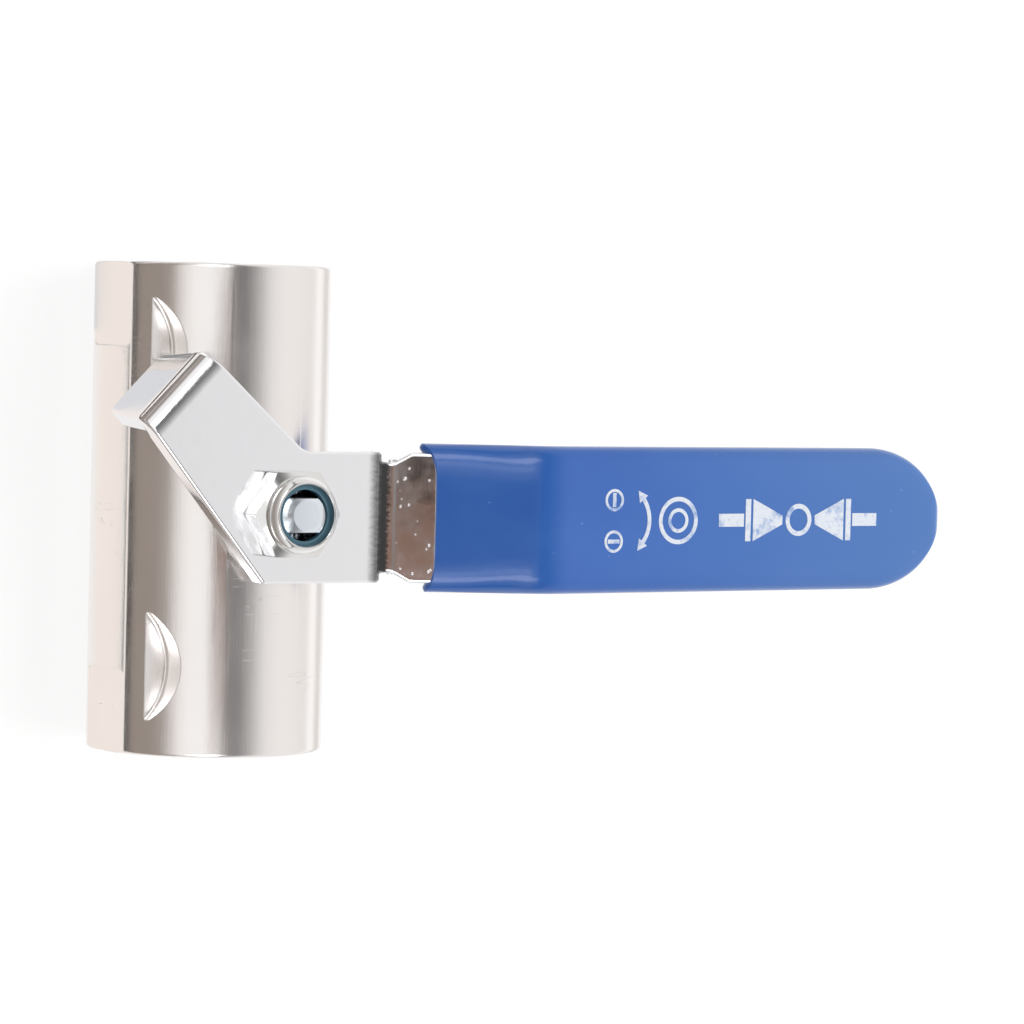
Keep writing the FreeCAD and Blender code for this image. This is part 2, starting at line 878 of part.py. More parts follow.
def write_parts(parts):
    """Checks the document and every part, then writes one file for each."""
    doc.recompute()
    for item in doc.Objects:
        if "Invalid" in item.State or "Error" in item.State:
            raise RuntimeError(f"{item.Name} failed: {item.State}")
    for part in parts:
        shape = part.Shape
        if shape.isNull() or not shape.isValid() or len(shape.Solids) != 1:
            raise RuntimeError(f"{part.Label} is not one valid solid")
    os.makedirs("parts", exist_ok=True)
    for part in parts:
        part.Shape.exportStep(f"parts/{part.Label}.step")
        print(f"{part.Label}: {part.Shape.Volume:.1f} mm3")


make_sheet()
lever = make_lever()
write_parts(
    [
        make_valve_body(),
        make_ball(),
        *make_seats(),
        make_retainer(),
        make_gasket(),
        make_stem(),
        *make_stem_seals(),
        make_gland_nut(),
        lever,
        cut("grip_sleeve", make_sleeve_blank(), lever),
        *make_lock_nut(),
    ]
)
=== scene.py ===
"""Looks of the half-inch lever ball valve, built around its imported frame.

Lengths in the classes are millimetres, measured from the point where the stem axis crosses the
pipe axis: x along the lever, y along the pipe, z up the stem.
"""

import logging
import math
from dataclasses import dataclass
from enum import Enum
from typing import Callable, Sequence

import bmesh
import bpy
from mathutils import Euler, Matrix, Vector


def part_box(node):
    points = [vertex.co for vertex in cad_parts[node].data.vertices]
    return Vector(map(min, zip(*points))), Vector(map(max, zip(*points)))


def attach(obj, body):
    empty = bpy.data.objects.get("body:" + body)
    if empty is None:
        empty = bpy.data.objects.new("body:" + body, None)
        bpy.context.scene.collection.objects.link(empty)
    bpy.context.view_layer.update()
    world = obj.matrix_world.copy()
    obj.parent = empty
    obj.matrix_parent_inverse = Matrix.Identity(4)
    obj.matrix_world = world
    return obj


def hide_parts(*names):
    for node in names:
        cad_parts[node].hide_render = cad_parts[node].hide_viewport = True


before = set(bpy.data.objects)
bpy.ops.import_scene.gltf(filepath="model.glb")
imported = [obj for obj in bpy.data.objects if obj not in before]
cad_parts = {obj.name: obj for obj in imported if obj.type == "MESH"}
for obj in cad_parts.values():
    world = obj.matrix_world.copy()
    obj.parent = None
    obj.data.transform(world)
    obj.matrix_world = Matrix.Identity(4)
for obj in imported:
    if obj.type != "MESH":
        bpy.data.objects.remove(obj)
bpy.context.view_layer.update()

LOG = logging.getLogger("ball_valve")
MM = 0.001

Mesh = bmesh.types.BMesh
Vert = bmesh.types.BMVert
Edge = bmesh.types.BMEdge
Item = bpy.types.Object
Material = bpy.types.Material
Socket = bpy.types.NodeSocket
Colour = tuple[float, float, float]
Place = tuple[float, float, float]
Point = tuple[float, float]
Stops = Sequence[Point]


class Carried(Enum):
    """The bodies that pieces ride on."""

    FIXED = "valve_body"
    TURNING = "turning_stem"


class Cutting(Enum):
    """What a boolean does with its tool."""

    REMOVE = "DIFFERENCE"
    KEEP = "INTERSECT"
    ADD = "UNION"


class Axis(Enum):
    """Row axes that shapes are turned about."""

    PIPE = (0.0, 1.0, 0.0)
    STEM = (0.0, 0.0, 1.0)


# ---------------------------------------------------------------- mesh helpers


def stem_station() -> float:
    """Distance of the stem axis from the inlet mouth, in metres, from the body's own box."""
    low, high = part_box("body")
    return (low.y + high.y) / 2


def rounded(
    corners: Sequence[tuple[float, float, float]], steps: int = 5, closed: bool = False
) -> list[Point]:
    """Rounds the corners of an outline.

    Args:
        corners: (across, along, rounding) of each corner; a rounding of 0 keeps it sharp.
        steps: number of chords in each round corner.
        closed: the outline is a loop, so its first and last corners may be round too.

    Returns:
        The outline's points, with each round corner as an arc.
    """
    points: list[Point] = []
    for index, (across, along, rounding) in enumerate(corners):
        if rounding <= 0 or (not closed and index in (0, len(corners) - 1)):
            points.append((across, along))
            continue
        here = Vector((across, along))
        before = (Vector(corners[index - 1][:2]) - here).normalized()
        after = (Vector(corners[(index + 1) % len(corners)][:2]) - here).normalized()
        half = before.angle(after) / 2
        centre = here + (before + after).normalized() * rounding / math.sin(half)
        start = here + before * rounding / math.tan(half) - centre
        end = here + after * rounding / math.tan(half) - centre
        sweep = start.angle_signed(end)
        for step in range(steps + 1):
            spoke = Matrix.Rotation(-sweep * step / steps, 2) @ start
            points.append(tuple(centre + spoke))
    return points


def spun(outline: Sequence[Point], axis: Axis, steps: int = 128, closed: bool = False) -> Mesh:
    """Turns an outline of (radius, height) points right round an axis.

    Args:
        outline: the points in order.
        axis: the axis that they are turned about.
        steps: facets round the turn.
        closed: joins the last point to the first.

    Returns:
        The turned mesh, with its seam and poles merged and its faces outwards.
    """
    mesh = bmesh.new()
    if axis is Axis.PIPE:
        corners = [mesh.verts.new((across, along, 0)) for across, along in outline]
    else:
        corners = [mesh.verts.new((across, 0, along)) for across, along in outline]
    for one, other in zip(corners, corners[1:]):
        mesh.edges.new((one, other))
    if closed:
        mesh.edges.new((corners[-1], corners[0]))
    bmesh.ops.spin(
        mesh,
        geom=[*mesh.verts, *mesh.edges],
        cent=(0, 0, 0),
        axis=axis.value,
        angle=math.tau,
        steps=steps,
        use_merge=True,
    )
    bmesh.ops.remove_doubles(mesh, verts=mesh.verts, dist=0.0005)
    bmesh.ops.recalc_face_normals(mesh, faces=mesh.faces)
    return mesh


def threaded_rod(
    profile: Sequence[Point], pitch: float, low: float, high: float, steps: int = 72
) -> Mesh:
    """Makes a screw-shaped rod along Z whose crests follow a true helix.

    Args:
        profile: (radius, height) points across one pitch, starting and ending at the root.
        pitch: distance between crests.
        low: height of the lower end.
        high: height of the upper end.
        steps: facets in each turn.

    Returns:
        A closed rod, cut square at both ends.
    """
    mesh = bmesh.new()
    start = low - pitch * 1.5
    turns = math.ceil((high - low) / pitch) + 3
    corners = [mesh.verts.new((across, 0, start + along)) for across, along in profile]
    for one, other in zip(corners, corners[1:]):
        mesh.edges.new((one, other))
    bmesh.ops.spin(
        mesh,
        geom=[*mesh.verts, *mesh.edges],
        cent=(0, 0, 0),
        axis=(0, 0, 1),
        dvec=(0, 0, pitch / steps),
        angle=math.tau * turns,
        steps=steps * turns,
    )
    bmesh.ops.remove_doubles(mesh, verts=mesh.verts, dist=0.002)
    for height, upward in ((low, -1), (high, 1)):
        bmesh.ops.bisect_plane(
            mesh,
            geom=[*mesh.verts, *mesh.edges, *mesh.faces],
            plane_co=(0, 0, height),
            plane_no=(0, 0, upward),
            clear_outer=True,
        )
    rims = [edge for edge in mesh.edges if edge.is_boundary]
    bmesh.ops.holes_fill(mesh, edges=rims)
    bmesh.ops.recalc_face_normals(mesh, faces=mesh.faces)
    return mesh


def round_bar(radius: float, low: float, high: float, segments: int = 96) -> Mesh:
    """Makes a capped bar along Z, with as many sides as segments."""
    mesh = bmesh.new()
    bmesh.ops.create_cone(
        mesh, cap_ends=True, segments=segments, radius1=radius, radius2=radius, depth=high - low
    )
    bmesh.ops.translate(mesh, verts=mesh.verts, vec=(0, 0, (low + high) / 2))
    return mesh


def block(size: Sequence[float], centre: Sequence[float]) -> Mesh:
    """Makes a block from its three sizes and its centre."""
    mesh = bmesh.new()
    bmesh.ops.create_cube(mesh, size=1)
    bmesh.ops.scale(mesh, verts=mesh.verts, vec=size)
    bmesh.ops.translate(mesh, verts=mesh.verts, vec=centre)
    return mesh


def moved(mesh: Mesh, change: Matrix) -> Mesh:
    """Moves a whole mesh by a matrix."""
    bmesh.ops.transform(mesh, matrix=change, verts=mesh.verts)
    return mesh


def bevelled(
    mesh: Mesh,
    width: float,
    segments: int,
    chosen: Callable[[Edge], bool],
) -> Mesh:
    """Rounds the chosen edges of a mesh."""
    edges = [edge for edge in mesh.edges if chosen(edge)]
    bmesh.ops.bevel(
        mesh,
        geom=edges,
        offset=width,
        offset_type="OFFSET",
        segments=segments,
        profile=0.5,
        affect="EDGES",
        material=-1,
        clamp_overlap=False,
    )
    return mesh


def sharper_than(degrees: float) -> Callable[[Edge], bool]:
    """Makes a test that picks edges whose faces meet at more than an angle."""
    limit = math.radians(degrees)
    return lambda edge: edge.is_manifold and edge.calc_face_angle(0.0) > limit


class Workshop:
    """Cuts meshes with each other and sets finished pieces in the scene."""

    place: Matrix = Matrix.Translation((0, stem_station(), 0)) @ Matrix.Scale(MM, 4)

    @staticmethod
    def bench(name: str, mesh: Mesh) -> Item:
        """Puts a mesh in the scene as it is and frees the bmesh."""
        data = bpy.data.meshes.new(name)
        mesh.to_mesh(data)
        mesh.free()
        item = bpy.data.objects.new(name, data)
        bpy.context.scene.collection.objects.link(item)
        return item

    @classmethod
    def cut(
        cls,
        stock: Mesh,
        tools: Sequence[Mesh],
        action: Cutting = Cutting.REMOVE,
    ) -> Mesh:
        """Runs exact booleans, one tool after another.

        Args:
            stock: the mesh that is worked on; it is used up.
            tools: closed meshes; they are used up.
            action: what each tool does.

        Returns:
            The worked mesh.
        """
        work = cls.bench("stock", stock)
        cutters = [cls.bench("tool", tool) for tool in tools]
        for cutter in cutters:
            step = work.modifiers.new("cut", "BOOLEAN")
            step.operation = action.value
            step.solver = "EXACT"
            step.object = cutter
        graph = bpy.context.evaluated_depsgraph_get()
        made = bpy.data.meshes.new_from_object(work.evaluated_get(graph))
        result = bmesh.new()
        result.from_mesh(made)
        bpy.data.meshes.remove(made)
        for item in (work, *cutters):
            data = item.data
            bpy.data.objects.remove(item)
            bpy.data.meshes.remove(data)
        bmesh.ops.remove_doubles(result, verts=result.verts, dist=0.0005)
        return result

    @classmethod
    def copy_of(cls, node: str) -> Mesh:
        """Copies a frame node, merged and with its flat faces whole, in local millimetres."""
        mesh = bmesh.new()
        mesh.from_mesh(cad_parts[node].data)
        moved(mesh, cls.place.inverted())
        bmesh.ops.remove_doubles(mesh, verts=mesh.verts, dist=0.0005)
        bmesh.ops.dissolve_limit(
            mesh, angle_limit=math.radians(0.4), verts=mesh.verts, edges=mesh.edges
        )
        return mesh

    @classmethod
    def finish(
        cls,
        name: str,
        mesh: Mesh,
        material: Material,
        body: Carried,
        slot: str,
        replaces: Sequence[str] = (),
        crease: float = 32.0,
        flat_faces: bool = True,
    ) -> Item:
        """Sets a finished piece in its place and ties it to the frame.

        Args:
            name: the piece's name.
            mesh: its mesh in local millimetres; it is used up.
            material: its finish.
            body: the body that it rides on.
            slot: the record's material slot; not used.
            replaces: the frame nodes that it stands for.
            crease: edges sharper than this many degrees stay sharp.
            flat_faces: lets large faces rule the shading at their rims.

        Returns:
            The piece.
        """
        moved(mesh, cls.place)
        piece = cls.bench(name, mesh)
        piece.data.materials.append(material)
        piece.data.polygons.foreach_set("use_smooth", [True] * len(piece.data.polygons))
        piece.data.set_sharp_from_angle(angle=math.radians(crease))
        if flat_faces:
            shading = piece.modifiers.new("shading", "WEIGHTED_NORMAL")
            shading.keep_sharp = True
        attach(piece, body.value)
        if replaces:
            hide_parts(*replaces)
        LOG.info("%s: %d faces", name, len(piece.data.polygons))
        return piece

    @staticmethod
    def dress(node: str, material: Material) -> None:
        """Gives a frame node its finish."""
        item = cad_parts[node]
        for slot in item.material_slots:
            slot.material = material
        LOG.info("%s: dressed", node)


# ---------------------------------------------------------------- finishes


class Net:
    """Adds nodes to a shader's or the world's tree and joins them."""

    def __init__(self, tree: bpy.types.NodeTree) -> None:
        """Takes over a tree."""
        self.net = tree

    def node(self, kind: str, **settings: object) -> bpy.types.Node:
        """Adds a node and sets its properties."""
        made = self.net.nodes.new(kind)
        for name, value in settings.items():
            setattr(made, name, value)
        return made

    def join(self, source: object, target: Socket) -> None:
        """Links a socket, or sets a plain value."""
        if isinstance(source, Socket):
            self.net.links.new(source, target)
        else:
            target.default_value = source

    def axes(self, vector: Socket) -> bpy.types.bpy_prop_collection:
        """Takes a vector apart into its X, Y and Z."""
        parts = self.node("ShaderNodeSeparateXYZ")
        self.join(vector, parts.inputs[0])
        return parts.outputs

    def share(self, value: Socket, start: float, end: float) -> Socket:
        """Rises from 0 to 1 while a value goes from start to end."""
        run = self.node("ShaderNodeMapRange")
        self.join(value, run.inputs["Value"])
        run.inputs["From Min"].default_value = start
        run.inputs["From Max"].default_value = end
        return run.outputs["Result"]

    def math(self, operation: str, one: object, other: object) -> Socket:
        """Joins two values with one operation."""
        step = self.node("ShaderNodeMath", operation=operation)
        self.join(one, step.inputs[0])
        self.join(other, step.inputs[1])
        return step.outputs["Value"]

    def curve(self, value: Socket, stops: Stops) -> Socket:
        """Maps a value from 0 to 1 through grey stops of (position, level)."""
        return self.ramp(value, [(place, (level, level, level)) for place, level in stops])

    def ramp(self, value: Socket, stops: Sequence[tuple[float, Colour]]) -> Socket:
        """Maps a value from 0 to 1 through colour stops."""
        ramp = self.node("ShaderNodeValToRGB")
        band = ramp.color_ramp
        while len(band.elements) < len(stops):
            band.elements.new(1.0)
        for element, (place, colour) in zip(band.elements, stops):
            element.position = place
            element.color = (*colour, 1.0)
        self.join(value, ramp.inputs["Fac"])
        return ramp.outputs["Color"]


class Tree(Net):
    """The nodes of a new material, with the patterns that the finishes share."""

    def __init__(self, name: str) -> None:
        """Starts a material with its shader."""
        self.material = bpy.data.materials.new(name)
        self.material.use_nodes = True
        super().__init__(self.material.node_tree)
        self.shader = self.net.nodes["Principled BSDF"]
        self.place = self.node("ShaderNodeTexCoord").outputs["Object"]

    def set(self, **values: object) -> None:
        """Sets or links the shader's own sockets; an underscore in a name stands for a space."""
        for name, value in values.items():
            self.join(value, self.shader.inputs[name.replace("_", " ")])

    def spread(self, x: float, y: float, z: float, turn: Sequence[float] = (0, 0, 0)) -> Socket:
        """Scales object coordinates, so that 1 is that many cycles to a millimetre."""
        mapping = self.node("ShaderNodeMapping")
        self.join(self.place, mapping.inputs["Vector"])
        mapping.inputs["Scale"].default_value = (x / MM, y / MM, z / MM)
        mapping.inputs["Rotation"].default_value = turn
        return mapping.outputs["Vector"]

    def even(self, cycles: float) -> Socket:
        """Object coordinates with the same number of cycles to a millimetre in every direction."""
        return self.spread(cycles, cycles, cycles)

    def noise(self, where: Socket, detail: float = 3.0, rough: float = 0.5) -> Socket:
        """Fractal noise from 0 to 1."""
        texture = self.node("ShaderNodeTexNoise")
        self.join(where, texture.inputs["Vector"])
        texture.inputs["Scale"].default_value = 1.0
        texture.inputs["Detail"].default_value = detail
        texture.inputs["Roughness"].default_value = rough
        return texture.outputs["Fac"]

    def spots(self, where: Socket, size: float) -> Socket:
        """Scattered round spots: 1 inside a spot, 0 outside."""
        cells = self.node("ShaderNodeTexVoronoi", feature="F1")
        self.join(where, cells.inputs["Vector"])
        cells.inputs["Scale"].default_value = 1.0
        return self.curve(cells.outputs["Distance"], ((0.0, 1.0), (size, 0.0)))

    def mix(self, share: object, one: object, other: object) -> Socket:
        """Mixes two colours."""
        step = self.node("ShaderNodeMix", data_type="RGBA", blend_type="MIX")
        self.join(share, step.inputs["Factor"])
        self.join((*one, 1.0) if isinstance(one, tuple) else one, step.inputs["A"])
        self.join((*other, 1.0) if isinstance(other, tuple) else other, step.inputs["B"])
        return step.outputs["Result"]

    def clouded(self, clouds: Socket, window: Point, levels: Point, fine: Socket, part: float) -> Socket:
        """Roughness that drifts between two levels, broken up by a fine pattern.

        Args:
            clouds: the drift.
            window: the stretch of the drift that the levels are spread over.
            levels: the lowest and highest roughness.
            fine: the fine pattern.
            part: how much of the fine pattern is added.

        Returns:
            The roughness.
        """
        drift = self.curve(clouds, tuple(zip(window, levels)))
        return self.math("ADD", drift, self.math("MULTIPLY", fine, part))

    def along(self, start: float, end: float) -> Socket:
        """Rises from 0 to 1 between two distances along the lever, in millimetres."""
        return self.share(self.axes(self.place)["X"], start * MM, end * MM)

    def relief(
        self, height: Socket, depth: float, strength: float = 1.0, below: object = None
    ) -> Socket:
        """Bump of a depth in millimetres, on top of another normal where one is given."""
        bump = self.node("ShaderNodeBump")
        bump.inputs["Strength"].default_value = strength
        bump.inputs["Distance"].default_value = depth * MM
        self.join(height, bump.inputs["Height"])
        if below is not None:
            self.join(below, bump.inputs["Normal"])
        return bump.outputs["Normal"]

    def soft_edges(self, radius: float) -> tuple[Socket, Socket]:
        """Finds edges for wear.

        Args:
            radius: how far from an edge the wear reaches, in millimetres.

        Returns:
            The rounded normal, and a mask that is 1 at edges.
        """
        bevel = self.node("ShaderNodeBevel", samples=4)
        bevel.inputs["Radius"].default_value = radius * MM
        flat = self.node("ShaderNodeNewGeometry").outputs["Normal"]
        dot = self.node("ShaderNodeVectorMath", operation="DOT_PRODUCT")
        self.join(bevel.outputs["Normal"], dot.inputs[0])
        self.join(flat, dot.inputs[1])
        mask = self.curve(dot.outputs["Value"], ((0.80, 1.0), (0.985, 0.0)))
        return bevel.outputs["Normal"], mask


@dataclass(frozen=True)
class SatinSteel:
    """Ground and turned stainless bar: fine grain along the bar, handling marks, bright edges."""

    name: str
    tint: Colour = (0.90, 0.87, 0.85)
    worn: Colour = (0.95, 0.93, 0.91)
    roughness: tuple[float, float] = (0.12, 0.2)
    grain: tuple[float, float, float] = (7.0, 0.22, 7.0)
    grain_depth: float = 0.007
    sway: float = 0.02
    edge: float = 0.22

    def material(self) -> Material:
        """Builds the finish."""
        tree = Tree(self.name)
        rounding, edges = tree.soft_edges(self.edge)
        grain = tree.noise(tree.spread(*self.grain), detail=5.0, rough=0.62)
        clouds = tree.noise(tree.spread(0.16, 0.07, 0.16), detail=4.0, rough=0.55)
        scratches = self.scratches(tree)
        shade = tree.mix(clouds, tuple(0.93 * c for c in self.tint), self.tint)
        shade = tree.mix(scratches, shade, tuple(0.62 * c for c in self.tint))
        shade = tree.mix(edges, shade, self.worn)
        rough = tree.clouded(clouds, (0.3, 0.75), self.roughness, grain, 0.08)
        swell = tree.noise(tree.spread(0.22, 0.13, 0.22), detail=3.0, rough=0.6)
        normal = tree.relief(swell, self.sway, below=rounding)
        normal = tree.relief(grain, self.grain_depth, below=normal)
        normal = tree.relief(scratches, -0.01, below=normal)
        tree.set(Base_Color=shade, Metallic=1.0, Roughness=rough, Normal=normal)
        return tree.material

    def scratches(self, tree: Tree) -> Socket:
        """A few thin handling scratches that run across the bar at a slant."""
        lines = tree.noise(tree.spread(0.09, 1.3, 0.5, (0.2, 0.1, 0.38)), detail=0.0)
        thin = tree.curve(lines, ((0.492, 0.0), (0.5, 1.0), (0.508, 0.0)))
        where = tree.noise(tree.spread(0.11, 0.13, 0.11), detail=2.0)
        gate = tree.curve(where, ((0.60, 0.0), (0.66, 1.0)))
        return tree.math("MULTIPLY", thin, gate)


@dataclass(frozen=True)
class BrightPlate:
    """Bright plating on pressed steel: mirror-like, slightly wavy, with pits and dull spots.

    Pits begin at pitted_from along the lever. A painted dark reflection runs between the two
    places given for it; it fades in over fade, and reach is the length of lever that its shader
    works over. All of these are millimetres.
    """

    name: str
    tint: Colour = (0.90, 0.90, 0.915)
    pits: Colour = (0.42, 0.37, 0.34)
    roughness: tuple[float, float] = (0.05, 0.12)
    wave: float = 0.010
    pitted_from: float = 14.0
    # painted dark reflection at the first bend: where it runs and its colour
    painted_reflection_span: tuple[float, ...] = ()
    painted_reflection_tint: Colour = (0.17, 0.165, 0.165)
    fade: float = 1.5
    reach: float = 50.0
    edge: float = 0.12

    def material(self) -> Material:
        """Builds the finish."""
        tree = Tree(self.name)
        rounding, edges = tree.soft_edges(self.edge)
        skin = tree.noise(tree.even(0.55), detail=2.0, rough=0.4)
        clouds = tree.noise(tree.even(0.22), detail=5.0, rough=0.6)
        grain = tree.noise(tree.spread(5.5, 0.6, 5.5), detail=3.0)
        pits = tree.math(
            "MULTIPLY",
            tree.spots(tree.even(1.1), 0.2),
            tree.curve(clouds, ((0.5, 0.0), (0.56, 1.0))),
        )
        pits = tree.math("MULTIPLY", pits, tree.along(self.pitted_from, self.pitted_from + self.fade))
        shade = tree.mix(pits, tree.mix(clouds, tuple(0.95 * c for c in self.tint), self.tint), self.pits)
        if self.painted_reflection_span:
            # painted dark reflection darkens the plating across the first bend
            shade = tree.mix(self.painted_reflection_mask(tree), shade, self.painted_reflection_tint)
        shade = tree.mix(edges, shade, (0.92, 0.92, 0.92))
        rough = tree.clouded(clouds, (0.35, 0.7), self.roughness, grain, 0.05)
        normal = tree.relief(skin, self.wave, below=rounding)
        normal = tree.relief(pits, -0.03, below=normal)
        tree.set(Base_Color=shade, Metallic=1.0, Roughness=rough, Normal=normal)
        return tree.material

    def painted_reflection_mask(self, tree: Tree) -> Socket:
        """Masks a painted dark reflection: a ragged dark line across the plating at the first bend."""
        start, end = self.painted_reflection_span
        ragged = tree.noise(tree.spread(1.2, 2.6, 1.2), detail=5.0, rough=0.7)
        wander = tree.math("MULTIPLY", tree.math("ADD", ragged, -0.5), self.fade / self.reach)
        where = tree.math("ADD", tree.along(0.0, self.reach), wander)
        stops = ((start - self.fade, 0.0), (start, 0.9), (end, 0.9), (end + self.fade / 5, 0.0))
        return tree.curve(where, [(place / self.reach, level) for place, level in stops])


@dataclass(frozen=True)
class DippedVinyl:
    """Soft glossy vinyl that was dipped on: faint orange peel, paler towards its tip."""

    name: str
    tint: Colour = (0.020, 0.098, 0.375)
    faded: Colour = (0.027, 0.113, 0.405)
    paler: Colour = (0.052, 0.148, 0.400)
    paler_over: Point = (38.0, 90.0)
    roughness: tuple[float, float] = (0.12, 0.18)

    def material(self) -> Material:
        """Builds the finish."""
        tree = Tree(self.name)
        clouds = tree.noise(tree.spread(0.05, 0.09, 0.09), detail=4.0, rough=0.55)
        peel = tree.noise(tree.even(0.9), detail=2.0, rough=0.45)
        fine = tree.noise(tree.even(5.0), detail=3.0)
        rubs = tree.noise(tree.spread(0.5, 2.6, 2.6, (0, 0, 0.3)), detail=3.0)
        specks = tree.spots(tree.even(0.32), 0.05)
        shade = tree.mix(tree.curve(clouds, ((0.3, 0.0), (0.7, 1.0))), self.tint, self.faded)
        # the colour grows paler along the grip between the two distances given
        shade = tree.mix(tree.along(*self.paler_over), shade, self.paler)
        shade = tree.mix(specks, shade, (0.16, 0.28, 0.55))
        rough = tree.clouded(clouds, (0.35, 0.7), self.roughness, rubs, 0.07)
        height = tree.math("ADD", peel, tree.math("MULTIPLY", fine, 0.12))
        normal = tree.relief(height, 0.03, 0.5)
        tree.set(Base_Color=shade, Roughness=rough, Normal=normal)
        tree.set(Specular_IOR_Level=0.42, Coat_Weight=0.2, Coat_Roughness=0.08)
        return tree.material


@dataclass(frozen=True)
class WornInk:
    """White pad print that has rubbed thin over the vinyl in places."""

    name: str
    ink: Colour = (0.60, 0.64, 0.70)
    under: Colour = (0.10, 0.22, 0.50)

    def material(self) -> Material:
        """Builds the finish."""
        tree = Tree(self.name)
        wear = tree.noise(tree.even(0.32), detail=6.0, rough=0.68)
        grit = tree.noise(tree.even(3.0), detail=3.0, rough=0.6)
        thin = tree.curve(wear, ((0.50, 0.0), (0.64, 0.85)))
        speckle = tree.curve(grit, ((0.56, 0.0), (0.68, 0.35)))
        shade = tree.mix(speckle, tree.mix(thin, self.ink, self.under), self.under)
        tree.set(Base_Color=shade, Roughness=tree.curve(wear, ((0.3, 0.5), (0.7, 0.35))))
        tree.set(Normal=tree.relief(grit, 0.01, 0.4))
        return tree.material


@dataclass(frozen=True)
class Moulded:
    """Turned or moulded polymer: nylon, or white sealing plastic."""

    name: str
    tint: Colour
    roughness: float = 0.4
    rings: float = 3.0

    def material(self) -> Material:
        """Builds the finish."""
        tree = Tree(self.name)
        clouds = tree.noise(tree.even(0.35), detail=4.0)
        tool = tree.noise(tree.spread(self.rings, self.rings, self.rings * 2), detail=4.0, rough=0.65)
        shade = tree.mix(clouds, tuple(0.82 * c for c in self.tint), self.tint)
        rough = tree.math("ADD", tree.math("MULTIPLY", tool, 0.14), self.roughness - 0.07)
        tree.set(Base_Color=shade, Roughness=rough, Normal=tree.relief(tool, 0.012, 0.6))
        tree.set(Subsurface_Weight=0.08, Subsurface_Scale=0.0006)
        return tree.material


class Finishes:
    """Every finish of the valve, each made once."""

    def __init__(self) -> None:
        """Builds the materials."""
        self.bar = SatinSteel("satin_bar").material()
        self.retainer = SatinSteel(
            "turned_retainer", roughness=(0.28, 0.42), grain=(1.2, 6.0, 1.2)
        ).material()
        self.gland = SatinSteel(
            "dull_gland", tint=(0.50, 0.49, 0.47), roughness=(0.26, 0.4), grain=(2.0, 2.0, 6.0)
        ).material()
        self.stem = BrightPlate("bright_stem", tint=(0.78, 0.84, 0.90), roughness=(0.14, 0.26)).material()
        self.ball = BrightPlate("polished_ball", roughness=(0.04, 0.1), wave=0.002).material()
        # the lever's plating carries a painted dark reflection across its first bend
        self.lever = BrightPlate("bright_lever", painted_reflection_span=(12.9, 13.55)).material()
        self.nut = BrightPlate("bright_nut", tint=(0.80, 0.80, 0.79), roughness=(0.06, 0.14)).material()
        self.vinyl = DippedVinyl("blue_vinyl").material()
        self.ink = WornInk("white_ink").material()
        self.nylon = Moulded("teal_nylon", tint=(0.055, 0.14, 0.19), roughness=0.3).material()
        self.seat = Moulded("white_seat_plastic", tint=(0.86, 0.86, 0.83), roughness=0.42).material()
        self.packing = Moulded("packing_plastic", tint=(0.78, 0.77, 0.72), roughness=0.5).material()


# ---------------------------------------------------------------- the valve's sub-assemblies


